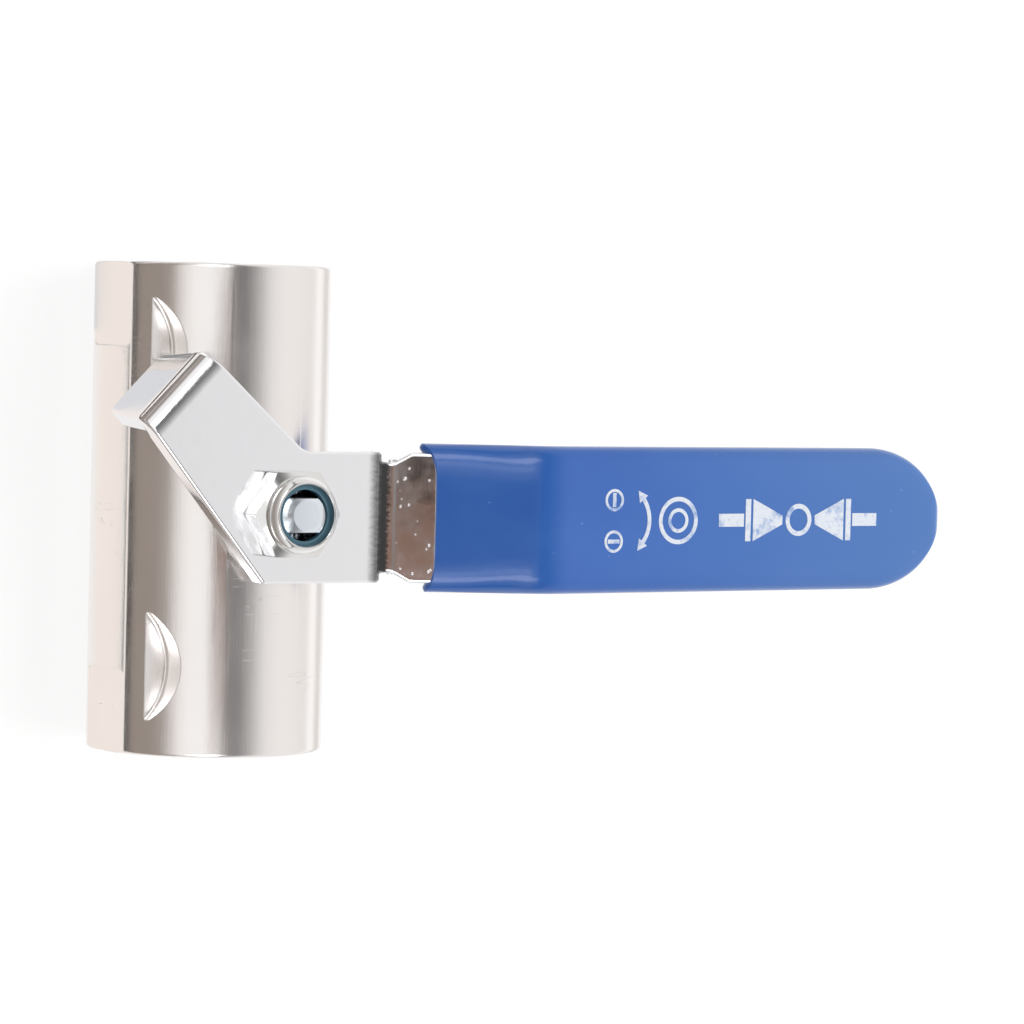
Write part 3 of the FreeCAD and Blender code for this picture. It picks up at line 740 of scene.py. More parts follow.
@dataclass
class BarBody:
    """Round bar body with threaded ports, wrench flats, stop notches and a stem well."""

    finishes: Finishes
    length: float = 58.5
    radius: float = 14.25
    rim_round: float = 0.45
    port_radius: float = 9.3155
    port_depth: float = 14.8
    mouth_radius: float = 10.75
    retainer_bore: float = 9.0
    outlet_step: float = 8.6
    cavity_radius: float = 7.8
    inlet_step: float = 8.4
    throat_radius: float = 4.6
    pitch: float = 1.814
    thread_root: float = 8.9
    thread_crest: float = 10.4775
    runout: float = 0.9
    flat: float = 13.55
    flat_length: float = 10.0
    flat_half: float = 4.9
    flat_corner: float = 1.5
    notch_radius: float = 9.2
    notch_reach: float = 18.55
    notch_spacing: float = 18.6
    notch_floor: float = 7.3
    notch_fillet: float = 0.45
    facets: int = 320
    wells: tuple[Point, ...] = ((7.35, 13.4), (5.6, 10.2), (4.7, 0.0))

    def build(self) -> Item:
        """Turns the bar, then mills and taps it."""
        tools = [*self.notches(), *self.flats(), *self.well_tools(), *self.taps()]
        bar = Workshop.cut(self.turning(), tools)
        return Workshop.finish(
            "bar_body", bar, self.finishes.bar, Carried.FIXED, "body_steel", ["body"], crease=28.0
        )

    def turning(self) -> Mesh:
        """The bar with its bores, before milling."""
        end = self.length / 2
        mouth = self.mouth_radius - self.port_radius
        floor = end - self.port_depth
        outline = [
            (self.port_radius, -end + mouth, 0),
            (self.mouth_radius, -end, 0.2),
            (self.radius, -end, self.rim_round),
            (self.radius, end, self.rim_round),
            (self.mouth_radius, end, 0.2),
            (self.port_radius, end - mouth, 0),
            (self.port_radius, floor, 0),
            (self.retainer_bore, floor, 0),
            (self.retainer_bore, self.outlet_step, 0),
            (self.cavity_radius, self.outlet_step, 0),
            (self.cavity_radius, -self.inlet_step, 0),
            (self.throat_radius, -self.inlet_step, 0),
            (self.throat_radius, -floor, 0),
            (self.port_radius, -floor, 0),
        ]
        return spun(rounded(outline), Axis.PIPE, self.facets, closed=True)

    def notches(self) -> list[Mesh]:
        """End-mill cutters for the two stop notches, with a small corner radius."""
        tools = []
        for side in (-1, 1):
            tool = round_bar(self.notch_radius, self.notch_floor, self.radius * 2, 160)
            low = self.notch_floor + 0.01
            bevelled(tool, self.notch_fillet, 3, lambda edge: all(v.co.z < low for v in edge.verts))
            tools.append(moved(tool, Matrix.Translation((-self.notch_reach, side * self.notch_spacing, 0))))
        return tools

    def flats(self) -> list[Mesh]:
        """Cutters for the four wrench flats, round at their inner corners."""
        tools = []
        for end in (-1, 1):
            for side in (-1, 1):
                size = (self.radius, self.flat_length * 2, self.flat_half * 2)
                centre = (side * (self.flat + self.radius / 2), end * self.length / 2, 0)
                tool = block(size, centre)
                bevelled(
                    tool,
                    self.flat_corner,
                    6,
                    lambda edge: abs(edge.verts[0].co.x - edge.verts[1].co.x) > self.radius / 2,
                )
                tools.append(tool)
        return tools

    def well_tools(self) -> list[Mesh]:
        """Cutters for the spot face, packing chamber and stem hole."""
        return [round_bar(radius, floor, self.radius * 2, 128) for radius, floor in self.wells]

    def taps(self) -> list[Mesh]:
        """Taps that leave a real helical thread in both ports."""
        depth = self.thread_crest - self.thread_root
        slope = math.tan(math.radians(27.5)) * depth
        land = self.pitch / 2 - slope
        profile = [
            (self.thread_root, 0.0),
            (self.thread_crest - 0.08, slope - 0.02),
            (self.thread_crest, self.pitch / 2 - land / 2),
            (self.thread_crest, self.pitch / 2 + land / 2),
            (self.thread_crest - 0.08, self.pitch - slope + 0.02),
            (self.thread_root, self.pitch),
        ]
        end = self.length / 2
        start = end - self.port_depth + self.runout
        tools = []
        for turn in (-90, 90):
            tap = threaded_rod(profile, self.pitch, start, end + 1)
            tools.append(moved(tap, Matrix.Rotation(math.radians(turn), 4, "X")))
        return tools


@dataclass
class FlowParts:
    """Ball, seats, gasket and the retainer that holds them."""

    finishes: Finishes

    def build(self) -> None:
        """Dresses the parts that the ports let one see."""
        Workshop.dress("ball", self.finishes.ball)
        for node in ("seat_inlet", "seat_outlet", "joint_gasket"):
            Workshop.dress(node, self.finishes.seat)
        Workshop.dress("seat_retainer", self.finishes.retainer)


@dataclass
class StemParts:
    """Stem with its threaded, flatted end, and the seals and gland nut round it."""

    finishes: Finishes
    shoulder: float = 16.2
    top: float = 23.4
    thread_radius: float = 3.0
    thread_root: float = 2.45
    pitch: float = 1.0
    chamfer_radius: float = 1.8
    chamfer_height: float = 0.62
    shank: float = 3.5
    flange: float = 4.6
    flange_low: float = 7.7
    flange_high: float = 8.6
    tang_low: float = 5.35
    tang_radius: float = 4.0
    tang_half: float = 1.5
    flats_half: float = 2.0

    def build(self) -> None:
        """Makes the stem and dresses the seals."""
        Workshop.finish(
            "threaded_stem",
            self.stem(),
            self.finishes.stem,
            Carried.TURNING,
            "stem_steel",
            ["stem"],
        )
        gland = bevelled(Workshop.copy_of("gland_nut"), 0.15, 2, sharper_than(40))
        Workshop.finish(
            "hex_gland_nut", gland, self.finishes.gland, Carried.FIXED, "gland_steel", ["gland_nut"]
        )
        Workshop.dress("gland_ring", self.finishes.gland)
        for node in ("thrust_washer", "packing_lower", "packing_upper"):
            Workshop.dress(node, self.finishes.packing)

    def stem(self) -> Mesh:
        """Turned stem with a screw thread, then milled flats at both ends."""
        outline = [
            (0, self.tang_low, 0),
            (self.tang_radius, self.tang_low, 0.3),
            (self.tang_radius, self.flange_low, 0),
            (self.flange, self.flange_low, 0.15),
            (self.flange, self.flange_high, 0.15),
            (self.shank, self.flange_high, 0),
            (self.shank, self.shoulder, 0.1),
            (self.thread_root, self.shoulder, 0),
            (self.thread_root, self.top + 1, 0),
            (0, self.top + 1, 0),
        ]
        core = spun(rounded(outline, 3), Axis.STEM, 96)
        slope = (self.thread_radius - self.thread_root) * math.tan(math.radians(30))
        thread = threaded_rod(
            [
                (self.thread_root - 0.1, 0.0),
                (self.thread_root, 0.1),
                (self.thread_radius, 0.1 + slope),
                (self.thread_radius, 0.25 + slope),
                (self.thread_root, 0.25 + slope * 2),
                (self.thread_root - 0.1, self.pitch),
            ],
            self.pitch,
            self.shoulder + 0.05,
            self.top,
            48,
        )
        joined = Workshop.cut(core, [thread], Cutting.ADD)
        nose = spun(
            rounded(
                [
                    (0, 0, 0),
                    (self.shank * 2, 0, 0),
                    (self.shank * 2, self.flange_high + 4, 0),
                    (self.thread_radius + 0.4, self.top - self.chamfer_height, 0),
                    (self.chamfer_radius, self.top, 0.1),
                    (0, self.top, 0),
                ],
                3,
            ),
            Axis.STEM,
            96,
        )
        trimmed = Workshop.cut(joined, [nose], Cutting.KEEP)
        wide = self.shank * 4
        tang = self.tang_half + wide / 2
        flats = self.flats_half + wide / 2
        tools = []
        for side in (-1, 1):
            tools.append(block((wide, wide, self.flange_low), (side * tang, 0, self.flange_low / 2)))
            tools.append(block((wide, wide, self.top), (0, side * flats, self.shoulder + self.top / 2)))
        return Workshop.cut(trimmed, tools)


@dataclass
class PressedLever:
    """Lever pressed from strip: waisted, cranked twice, with a stop arm folded down at its end."""

    finishes: Finishes
    plate: float = 2.5
    top: float = 18.7
    half_width: float = 7.8
    offset: float = -0.5
    hub_back: float = -2.97
    tip: float = 89.6
    waist: tuple[float, float, float] = (12.9, 14.2, 16.1)
    waist_half: float = 6.6
    rise_start: float = 12.9
    rise_end: float = 30.05
    rise: float = 28.2
    inner_bend: float = 7.5
    outer_bend: float = 6.5
    press_mark: float = 0.05
    press_width: float = 0.9
    arm_turn: float = 135.0
    arm_end: float = 21.2
    arm_half: float = 5.95
    arm_root: tuple[float, float] = (3.42, -6.9)
    arm_fillet: float = 3.0
    fold: float = 2.9
    tab_low: float = 8.2
    tab_half: float = 4.8
    tab_corner: float = 1.2
    edge_round: float = 0.4
    hole_radius: float = 3.05
    hole_half: float = 2.05

    def build(self) -> Item:
        """Blanks, folds and thickens the strip, then rounds its edges and pierces the hole."""
        sheet = self.blank()
        self.fold_tab(sheet)
        self.crank(sheet)
        bmesh.ops.recalc_face_normals(sheet, faces=sheet.faces)
        bmesh.ops.solidify(sheet, geom=sheet.faces[:], thickness=self.thickness(sheet))
        bmesh.ops.recalc_face_normals(sheet, faces=sheet.faces)
        round_hole = round_bar(self.hole_radius, self.top - self.plate * 2, self.top + 1, 64)
        slot = block((self.hole_radius * 3, self.hole_half * 2, self.plate * 6), (0, 0, self.top))
        hole = Workshop.cut(round_hole, [slot], Cutting.KEEP)
        lever = Workshop.cut(sheet, [hole])
        bevelled(lever, self.edge_round, 4, sharper_than(60))
        return Workshop.finish(
            "pressed_lever", lever, self.finishes.lever, Carried.TURNING, "lever_plated", ["lever"]
        )

    def thickness(self, sheet: Mesh) -> float:
        """The plate's thickness, signed so that the strip grows downwards."""
        hub = max(sheet.faces, key=lambda face: face.calc_area())
        return self.plate if hub.normal.z > 0 else -self.plate

    @property
    def outward(self) -> Vector:
        """Direction of the stop arm."""
        angle = math.radians(self.arm_turn)
        return Vector((math.cos(angle), math.sin(angle), 0))

    def on_arm(self, along: float, across: float, rounding: float = 0.0) -> tuple[float, float, float]:
        """Turns arm coordinates into a plan corner."""
        out = self.outward
        side = Vector((-out.y, out.x, 0))
        point = out * along + side * across
        return point.x, point.y, rounding

    def blank(self) -> Mesh:
        """Flat blank in plan, with the arm at its full unfolded length, sliced where it bends."""
        low, high = self.offset - self.half_width, self.offset + self.half_width
        waist_low, waist_high = self.offset - self.waist_half, self.offset + self.waist_half
        first, second, third = self.waist
        arc = self.fold * math.pi / 2
        unfolded = self.arm_end - self.fold + arc + self.top - self.fold - self.tab_low
        corners = [
            (self.hub_back, low, 0.6),
            (first, low, 0.5),
            (first, waist_low, 0.3),
            (second, waist_low, 0.3),
            (third, low, 0.8),
            (self.tip, low, self.half_width - 0.02),
            (self.tip, high, self.half_width - 0.02),
            (third, high, 0.8),
            (second, waist_high, 0.3),
            (first, waist_high, 0.3),
            (first, high, 0.5),
            self.on_arm(*self.arm_root, self.arm_fillet),
            self.on_arm(self.arm_end - self.fold, -self.arm_half),
            self.on_arm(unfolded, -self.tab_half, self.tab_corner),
            self.on_arm(unfolded, self.tab_half, self.tab_corner),
            self.on_arm(self.arm_end - self.fold, self.arm_half),
        ]
        mesh = bmesh.new()
        outline = [mesh.verts.new((x, y, self.top)) for x, y in rounded(corners, 8, closed=True)]
        mesh.faces.new(outline)
        angle = math.radians(self.rise)
        inner = self.inner_bend * math.tan(angle / 2)
        outer = self.outer_bend * math.tan(angle / 2)
        ahead = Vector((1, 0, 0))
        self.slice(mesh, ahead, self.rise_start - inner, self.rise_start + inner * math.cos(angle), 24)
        self.slice(mesh, ahead, self.rise_end - outer * math.cos(angle), self.rise_end + outer, 12)
        self.slice(mesh, self.outward, self.arm_end - self.fold, self.arm_end - self.fold + arc, 16)
        bmesh.ops.remove_doubles(mesh, verts=mesh.verts, dist=0.03)
        return mesh

    @staticmethod
    def slice(mesh: Mesh, direction: Vector, start: float, end: float, parts: int) -> None:
        """Cuts evenly spaced lines across the blank, square to a direction."""
        for part in range(parts + 1):
            bmesh.ops.bisect_plane(
                mesh,
                geom=[*mesh.verts, *mesh.edges, *mesh.faces],
                plane_co=direction * (start + (end - start) * part / parts),
                plane_no=direction,
            )

    def fold_tab(self, mesh: Mesh) -> None:
        """Folds the arm's end down round the fold radius."""
        start = self.arm_end - self.fold
        for vert in mesh.verts:
            along = vert.co.dot(self.outward)
            if along <= start:
                continue
            turn = min((along - start) / self.fold, math.pi / 2)
            rest = max(along - start - self.fold * math.pi / 2, 0.0)
            reach = start + self.fold * math.sin(turn)
            vert.co += self.outward * (reach - along)
            vert.co.z -= self.fold * (1 - math.cos(turn)) + rest

    def crank(self, mesh: Mesh) -> None:
        """Lifts the strip through its two bends."""
        for vert in mesh.verts:
            vert.co.z += self.lift(vert.co.x)

    def lift(self, x: float) -> float:
        """Height of the strip's top over the hub's, at a distance along the lever."""
        angle = math.radians(self.rise)
        tangent = math.tan(angle / 2)
        first = self.rise_start - self.inner_bend * tangent
        last = self.rise_end + self.outer_bend * tangent
        climb = (self.rise_end - self.rise_start) * math.tan(angle)
        if x <= first:
            return 0.0
        foot = first + self.inner_bend * math.sin(angle)
        if x <= foot:
            near = min((foot - x) / self.press_width, 1.0)
            mark = self.press_mark * math.sin(near * math.pi)
            return self.inner_bend - math.sqrt(self.inner_bend**2 - (x - first) ** 2) + mark
        if x >= last:
            return climb
        if x >= last - self.outer_bend * math.sin(angle):
            return climb - self.outer_bend + math.sqrt(self.outer_bend**2 - (last - x) ** 2)
        return (x - self.rise_start) * math.tan(angle)


@dataclass
class DippedSleeve:
    """Blue vinyl sleeve over the cranked grip, pooled at its bend and hooked at its mouth.

    Shoulder and crown are the powers of its cross-section, each with what it loses at the bend,
    where the vinyl has pooled over the two lengths in pool_run.
    """

    finishes: Finishes
    half_width: float = 8.9
    half_height: float = 2.35
    offset: float = -0.5
    plate: float = 2.5
    plate_top: float = 18.7
    rise_start: float = 13.9
    rise_end: float = 31.05
    rise: float = 28.2
    bend: float = 8.5
    shoulder: Point = (2.3, 0.7)
    crown: Point = (8.0, 1.2)
    pool_run: Point = (5.5, 3.2)
    mouth: float = 17.6
    tip: float = 90.7
    tip_run: float = 10.8
    nose: float = 2.0
    lip: float = 1.02
    mouth_dip: float = 2.2
    mouth_hooks: Point = (1.8, 1.1)
    mouth_fade: float = 7.0
    ring_points: int = 72

    def build(self) -> None:
        """Makes the sleeve."""
        Workshop.finish(
            "dipped_sleeve",
            self.skin(),
            self.finishes.vinyl,
            Carried.TURNING,
            "sleeve_vinyl",
            ["grip_sleeve"],
            crease=60.0,
            flat_faces=False,
        )

    @property
    def slope(self) -> Vector:
        """Direction of the rising part of the grip."""
        angle = math.radians(self.rise)
        return Vector((math.cos(angle), 0, math.sin(angle)))

    @property
    def crest(self) -> Vector:
        """Where the middles of the rising and level parts would meet."""
        climb = (self.rise_end - self.rise_start) * math.tan(math.radians(self.rise))
        half = self.plate / 2
        shift = half * math.tan(math.radians(self.rise / 2))
        return Vector((self.rise_end + shift, self.offset, self.plate_top + climb - half))

    def station(self, run: float) -> tuple[Vector, Vector]:
        """Finds a point on the grip's middle line.

        Args:
            run: distance along the line from the crest; negative on the rising part.

        Returns:
            The point and the direction square to the grip's broad faces.
        """
        angle = math.radians(self.rise)
        tangent = self.bend * math.tan(angle / 2)
        arc = self.bend * angle
        level = Vector((1, 0, 0))
        if run <= -arc / 2:
            point = self.crest - self.slope * (tangent - (run + arc / 2))
            return point, Vector((-self.slope.z, 0, self.slope.x))
        if run >= arc / 2:
            return self.crest + level * (tangent + run - arc / 2), Vector((0, 0, 1))
        turn = angle * (0.5 - run / arc)
        centre = self.crest + level * tangent - Vector((0, 0, self.bend))
        upright = Vector((-math.sin(turn), 0, math.cos(turn)))
        return centre + upright * self.bend, upright

    def taper(self, left: float) -> Point:
        """Half width and half height of the sleeve at a distance from its tip."""
        if left >= self.tip_run:
            return self.half_width, self.half_height
        near = 1 - left / self.tip_run
        power = 0.5 + 0.32 * near**6
        wide = self.half_width * max(1 - near**2, 0.0) ** power
        thin = 1.0 if left >= self.nose else math.sqrt(max(1 - (1 - left / self.nose) ** 2, 0.0))
        return wide, self.half_height * thin

    def runs(self) -> list[float]:
        """Distances along the middle line, close together at the bend, the mouth and the tip."""
        angle = math.radians(self.rise)
        arc = self.bend * angle
        tangent = self.bend * math.tan(angle / 2)
        flat = self.tip - self.crest.x - tangent + arc / 2
        height = self.plate_top + (self.mouth - self.rise_start) * math.tan(angle) - self.plate / 2
        opening = Vector((self.mouth, self.offset, height)) - self.crest
        rising = opening.dot(self.slope) + tangent - arc / 2
        places = [rising + self.mouth_fade * (step / 10) ** 1.5 for step in range(10)]
        settled = rising + self.mouth_fade
        places += [settled + (-arc / 2 - settled) * step / 16 for step in range(16)]
        places += [-arc / 2 + arc * step / 10 for step in range(11)]
        straight = flat - self.tip_run
        places += [arc / 2 + (straight - arc / 2) * step / 16 for step in range(1, 17)]
        places += [flat - self.tip_run * (1 - math.sin(step / 24 * math.pi / 2)) for step in range(1, 24)]
        places.append(flat)
        return sorted(places)

    def ring(self, verts: Sequence[Vert], run: float, shrink: float) -> None:
        """Lays a loop of vertices round the grip at one station.

        Args:
            verts: the loop, in order.
            run: distance along the middle line.
            shrink: how far inside the outer skin the loop lies.
        """
        places = self.runs()
        wide, high = self.taper(places[-1] - run)
        wide = max(wide - shrink, 0.0)
        high = max(high - shrink, 0.0)
        beyond = run + self.pool_run[1]
        pooled = math.exp(-((beyond / self.pool_run[beyond > 0]) ** 2))
        shoulder, crown = (plain - drop * pooled for plain, drop in (self.shoulder, self.crown))
        for index, vert in enumerate(verts):
            turn = math.tau * index / len(verts)
            across = math.copysign(abs(math.cos(turn)) ** (2 / crown), math.cos(turn))
            up = math.copysign(abs(math.sin(turn)) ** (2 / shoulder), math.sin(turn))
            fade = max(1 - (run - places[0]) / self.mouth_fade, 0.0)
            hook = self.mouth_hooks[across < 0] * abs(across) ** self.crown[0]
            shift = (self.mouth_dip - hook) * fade**2
            point, upright = self.station(run + shift)
            vert.co = point + Vector((0, across * wide, 0)) + upright * (up * high)

    def skin(self) -> Mesh:
        """Closed sleeve: the outer skin, a rolled lip at the mouth, and the pocket inside."""
        mesh = bmesh.new()
        made = bmesh.ops.create_circle(mesh, segments=self.ring_points, radius=1)
        loop = list(made["verts"])
        places = self.runs()
        inner = [place for place in places if place < places[-1] - self.lip * 2.2]
        path = [(place, self.lip) for place in reversed(inner)]
        for share in (0.25, 0.5, 0.75):
            path.append((places[0] - 0.3 * math.sin(share * math.pi), self.lip * (1 - share)))
        path += [(place, 0.0) for place in places[:-1]]
        self.ring(loop, *path[0])
        bmesh.ops.contextual_create(mesh, geom=loop)
        for run, shrink in path[1:]:
            edges = [loop[k].link_edges for k in range(len(loop))]
            rim = [
                next(e for e in edges[k] if e.other_vert(loop[k]) == loop[(k + 1) % len(loop)])
                for k in range(len(loop))
            ]
            grown = bmesh.ops.extrude_edge_only(mesh, edges=rim)
            fresh = [item for item in grown["geom"] if isinstance(item, Vert)]
            loop = self.in_order(loop, fresh)
            self.ring(loop, run, shrink)
        cap = bmesh.ops.contextual_create(mesh, geom=loop)
        bmesh.ops.poke(mesh, faces=cap["faces"])
        bmesh.ops.recalc_face_normals(mesh, faces=mesh.faces)
        return mesh

    @staticmethod
    def in_order(
        old: Sequence[Vert], fresh: Sequence[Vert]
    ) -> list[Vert]:
        """Sorts extruded vertices in the order of the loop that they came from."""
        chosen = set(fresh)
        return [next(e.other_vert(v) for e in v.link_edges if e.other_vert(v) in chosen) for v in old]


@dataclass
class LockNut:
    """Chamfered hexagon nut with a rolled collar over a nylon ring."""

    finishes: Finishes
    base: float = 18.7
    flats: float = 10.0
    height: float = 5.0
    hexagon: float = 3.3
    chamfer: float = 0.75
    collar: float = 4.55
    lip_radius: float = 3.62
    pocket: float = 3.95
    pocket_low: float = 3.5
    bore: float = 3.05
    ring_bore: float = 3.02

    def build(self) -> None:
        """Makes the nut and its ring."""
        Workshop.finish(
            "collared_lock_nut", self.nut(), self.finishes.nut, Carried.TURNING, "nut_plated", ["lock_nut"]
        )
        Workshop.finish(
            "nylon_insert", self.insert(), self.finishes.nylon, Carried.TURNING, "nylon", ["nylon_ring"]
        )

    def nut(self) -> Mesh:
        """Hexagon cut by a turned crown, joined to the rolled collar."""
        corner = self.flats / 2 / math.cos(math.radians(30))
        top = self.base + self.height
        shoulder = self.base + self.hexagon
        crown = spun(
            rounded(
                [
                    (0, self.base, 0),
                    (corner - 0.55, self.base, 0.1),
                    (corner + 0.05, self.base + 0.35, 0.1),
                    (corner + 0.05, shoulder - self.chamfer, 0.15),
                    (self.collar + 0.1, shoulder, 0.1),
                    (0, shoulder, 0),
                ],
                4,
            ),
            Axis.STEM,
            144,
        )
        prism = round_bar(corner, self.base - 1, top + 1, 6)
        moved(prism, Matrix.Rotation(math.radians(30), 4, "Z"))
        bevelled(prism, 0.16, 3, lambda edge: abs(edge.verts[0].co.z - edge.verts[1].co.z) > 1)
        hexagon = Workshop.cut(prism, [crown], Cutting.KEEP)
        collar = spun(
            rounded(
                [
                    (self.bore - 0.6, self.base + 1, 0),
                    (self.collar - 0.25, self.base + 1, 0),
                    (self.collar - 0.25, shoulder + 0.12, 0.05),
                    (self.collar, shoulder + 0.35, 0.12),
                    (self.collar, top - 0.75, 0.35),
                    (self.collar - 0.62, top, 0.3),
                    (self.lip_radius, top - 0.12, 0.16),
                    (self.lip_radius + 0.1, top - 0.5, 0),
                    (self.bore - 0.6, top - 0.5, 0),
                ],
                4,
            ),
            Axis.STEM,
            144,
            closed=True,
        )
        joined = Workshop.cut(hexagon, [collar], Cutting.ADD)
        hole = round_bar(self.bore, self.base - 1, top + 1, 96)
        room = round_bar(self.pocket, self.base + self.pocket_low, top - 0.45, 96)
        return Workshop.cut(joined, [hole, room])

    def insert(self) -> Mesh:
        """Nylon ring with the swelling that the thread has pushed up."""
        low = self.base + self.pocket_low + 0.02
        high = self.base + self.height - 0.72
        outline = [
            (self.ring_bore, low, 0),
            (self.pocket - 0.03, low, 0.05),
            (self.pocket - 0.03, high, 0.08),
            (self.lip_radius - 0.08, high - 0.1, 0.05),
            (self.ring_bore, high + 0.06, 0.1),
            (self.ring_bore, low, 0),
        ]
        return spun(rounded(outline)[:-1], Axis.STEM, 96, closed=True)


# ---------------------------------------------------------------- print on the sleeve


@dataclass
class SleevePrint:
    """Plain generic marks on the grip: a turn arrow, open and shut signs and a valve symbol."""

    finishes: Finishes
    surface: float = 29.0
    middle: float = -0.5
    coat: float = 0.03
    signs_x: float = 39.7
    signs_y: float = 2.5
    sign_ring: Point = (1.35, 0.35)
    sign_bar: Point = (0.85, 0.5)
    arrow_x: float = 44.9
    arrow_radius: float = 4.2
    arrow_reach: float = 38.0
    arrow_stroke: float = 0.55
    arrow_steps: int = 14
    arrow_head: Point = (1.35, 0.75)
    port_x: float = 49.2
    port_rings: tuple[Point, Point] = ((2.9, 0.55), (1.5, 0.45))
    symbol_x: float = 67.5
    symbol_ring: Point = (2.0, 0.6)
    cone: Point = (2.5, 7.0)
    cone_halves: Point = (0.55, 2.6)
    rib: Point = (0.75, 0.8)
    pipe: tuple[float, float, float] = (1.4, 5.2, 1.6)

    def build(self) -> None:
        """Makes one piece from all the marks."""
        mesh = bmesh.new()
        self.turn_arrow(mesh)
        self.sign(mesh, self.signs_y, (0.0, self.sign_bar[0]))
        self.sign(mesh, -self.signs_y, (self.sign_bar[0], 0.0))
        for radius, width in self.port_rings:
            self.ring(mesh, self.port_x, 0.0, radius, width)
        self.valve_symbol(mesh)
        self.thicken(mesh)
        Workshop.finish("sleeve_print", mesh, self.finishes.ink, Carried.TURNING, "sleeve_vinyl")

    def plate(self, mesh: Mesh, corners: Sequence[Point]) -> None:
        """Adds a flat mark from its corners."""
        mesh.faces.new([mesh.verts.new((x, self.middle + y, self.surface)) for x, y in corners])

    def bar(self, mesh: Mesh, start: Point, end: Point, width: float) -> None:
        """Adds a straight stroke."""
        one, other = Vector(start), Vector(end)
        side = (other - one).orthogonal().normalized() * width / 2
        self.plate(mesh, [one + side, one - side, other - side, other + side])

    def ring(self, mesh: Mesh, x: float, y: float, radius: float, width: float) -> None:
        """Adds a round stroke inside a radius."""
        centre = Vector((x, self.middle + y, self.surface))
        circle = bmesh.ops.create_circle(mesh, segments=48, radius=radius)
        bmesh.ops.translate(mesh, vec=centre, verts=circle["verts"])
        rim = {edge for vert in circle["verts"] for edge in vert.link_edges}
        grown = bmesh.ops.extrude_edge_only(mesh, edges=list(rim))
        fresh = [item for item in grown["geom"] if isinstance(item, Vert)]
        shrink = (1 - width / radius, 1 - width / radius, 1)
        bmesh.ops.scale(mesh, vec=shrink, space=Matrix.Translation(-centre), verts=fresh)

    def turn_arrow(self, mesh: Mesh) -> None:
        """Curved arrow with a head at each end."""
        reach = math.radians(self.arrow_reach)
        centre = Vector((self.arrow_x - self.arrow_radius, 0.0))
        inner = self.arrow_radius - self.arrow_stroke / 2
        outer = self.arrow_radius + self.arrow_stroke / 2
        spokes = []
        for step in range(self.arrow_steps + 1):
            turn = reach * (2 * step / self.arrow_steps - 1)
            spokes.append(Vector((math.cos(turn), math.sin(turn))))
        for one, other in zip(spokes, spokes[1:]):
            corners = [one * inner, one * outer, other * outer, other * inner]
            self.plate(mesh, [centre + corner for corner in corners])
        point, half = self.arrow_head
        for side, out in ((-1, spokes[0]), (1, spokes[-1])):
            base = centre + out * self.arrow_radius
            ahead = Vector((-out.y, out.x)) * side * point
            self.plate(mesh, [base - out * half, base + ahead, base + out * half])

    def sign(self, mesh: Mesh, y: float, half: Point) -> None:
        """Small ring with a bar: along the pipe for open, across it for shut."""
        self.ring(mesh, self.signs_x, y, *self.sign_ring)
        start = (self.signs_x - half[0], y - half[1])
        end = (self.signs_x + half[0], y + half[1])
        self.bar(mesh, start, end, self.sign_bar[1])

    def valve_symbol(self, mesh: Mesh) -> None:
        """Drawing-office sign of a ball valve, between two lengths of pipe."""
        small, large = self.cone_halves
        for side in (-1, 1):
            near, far = (self.symbol_x + side * reach for reach in self.cone)
            self.plate(mesh, [(near, small), (near, -small), (far, -large), (far, large)])
            rib = far + side * self.rib[0]
            self.bar(mesh, (rib, large), (rib, -large), self.rib[1])
            start, end, width = self.pipe
            self.bar(mesh, (far + side * start, 0), (far + side * end, 0), width)
        self.ring(mesh, self.symbol_x, 0.0, *self.symbol_ring)

    def thicken(self, mesh: Mesh) -> None:
        """Turns the flat marks up and gives them the thickness of a coat of ink, half of it sunk."""
        bmesh.ops.recalc_face_normals(mesh, faces=mesh.faces)
        for face in mesh.faces:
            if face.normal.z < 0:
                face.normal_flip()
        bmesh.ops.translate(mesh, verts=mesh.verts, vec=(0, 0, self.coat))
        bmesh.ops.solidify(mesh, geom=mesh.faces[:], thickness=self.coat * 2)


# ---------------------------------------------------------------- studio


LEFT, RIGHT, DOWN, UP = (-1, 0, 0), (1, 0, 0), (0, 0, -1), (0, 0, 1)


@dataclass(frozen=True)
class Card:
    """Sheet of even light that only reflections see.

    The centre and the half sizes are local millimetres. The back points away from the valve
    unless a direction is given for it.
    """

    name: str
    centre: Place
    half: Point
    tint: Colour
    back: Place | None = None

    def build(self) -> None:
        """Sets up the card."""
        mesh = bmesh.new()
        bmesh.ops.create_grid(mesh, x_segments=1, y_segments=1, size=1)
        bmesh.ops.scale(mesh, vec=(*self.half, 1), verts=mesh.verts)
        turn = Vector(self.back or self.centre).to_track_quat("Z", "Y").to_matrix().to_4x4()
        moved(mesh, Workshop.place @ Matrix.Translation(self.centre) @ turn)
        item = Workshop.bench(self.name, mesh)
        material = bpy.data.materials.new(self.name)
        material.use_nodes = True
        material.node_tree.nodes.clear()
        net = Net(material.node_tree)
        glow = net.node("ShaderNodeEmission")
        net.join((*self.tint, 1.0), glow.inputs["Color"])
        net.join(glow.outputs[0], net.node("ShaderNodeOutputMaterial").inputs["Surface"])
        item.data.materials.append(material)
        for kind in ("camera", "diffuse", "shadow", "transmission", "volume_scatter"):
            setattr(item, f"visible_{kind}", False)


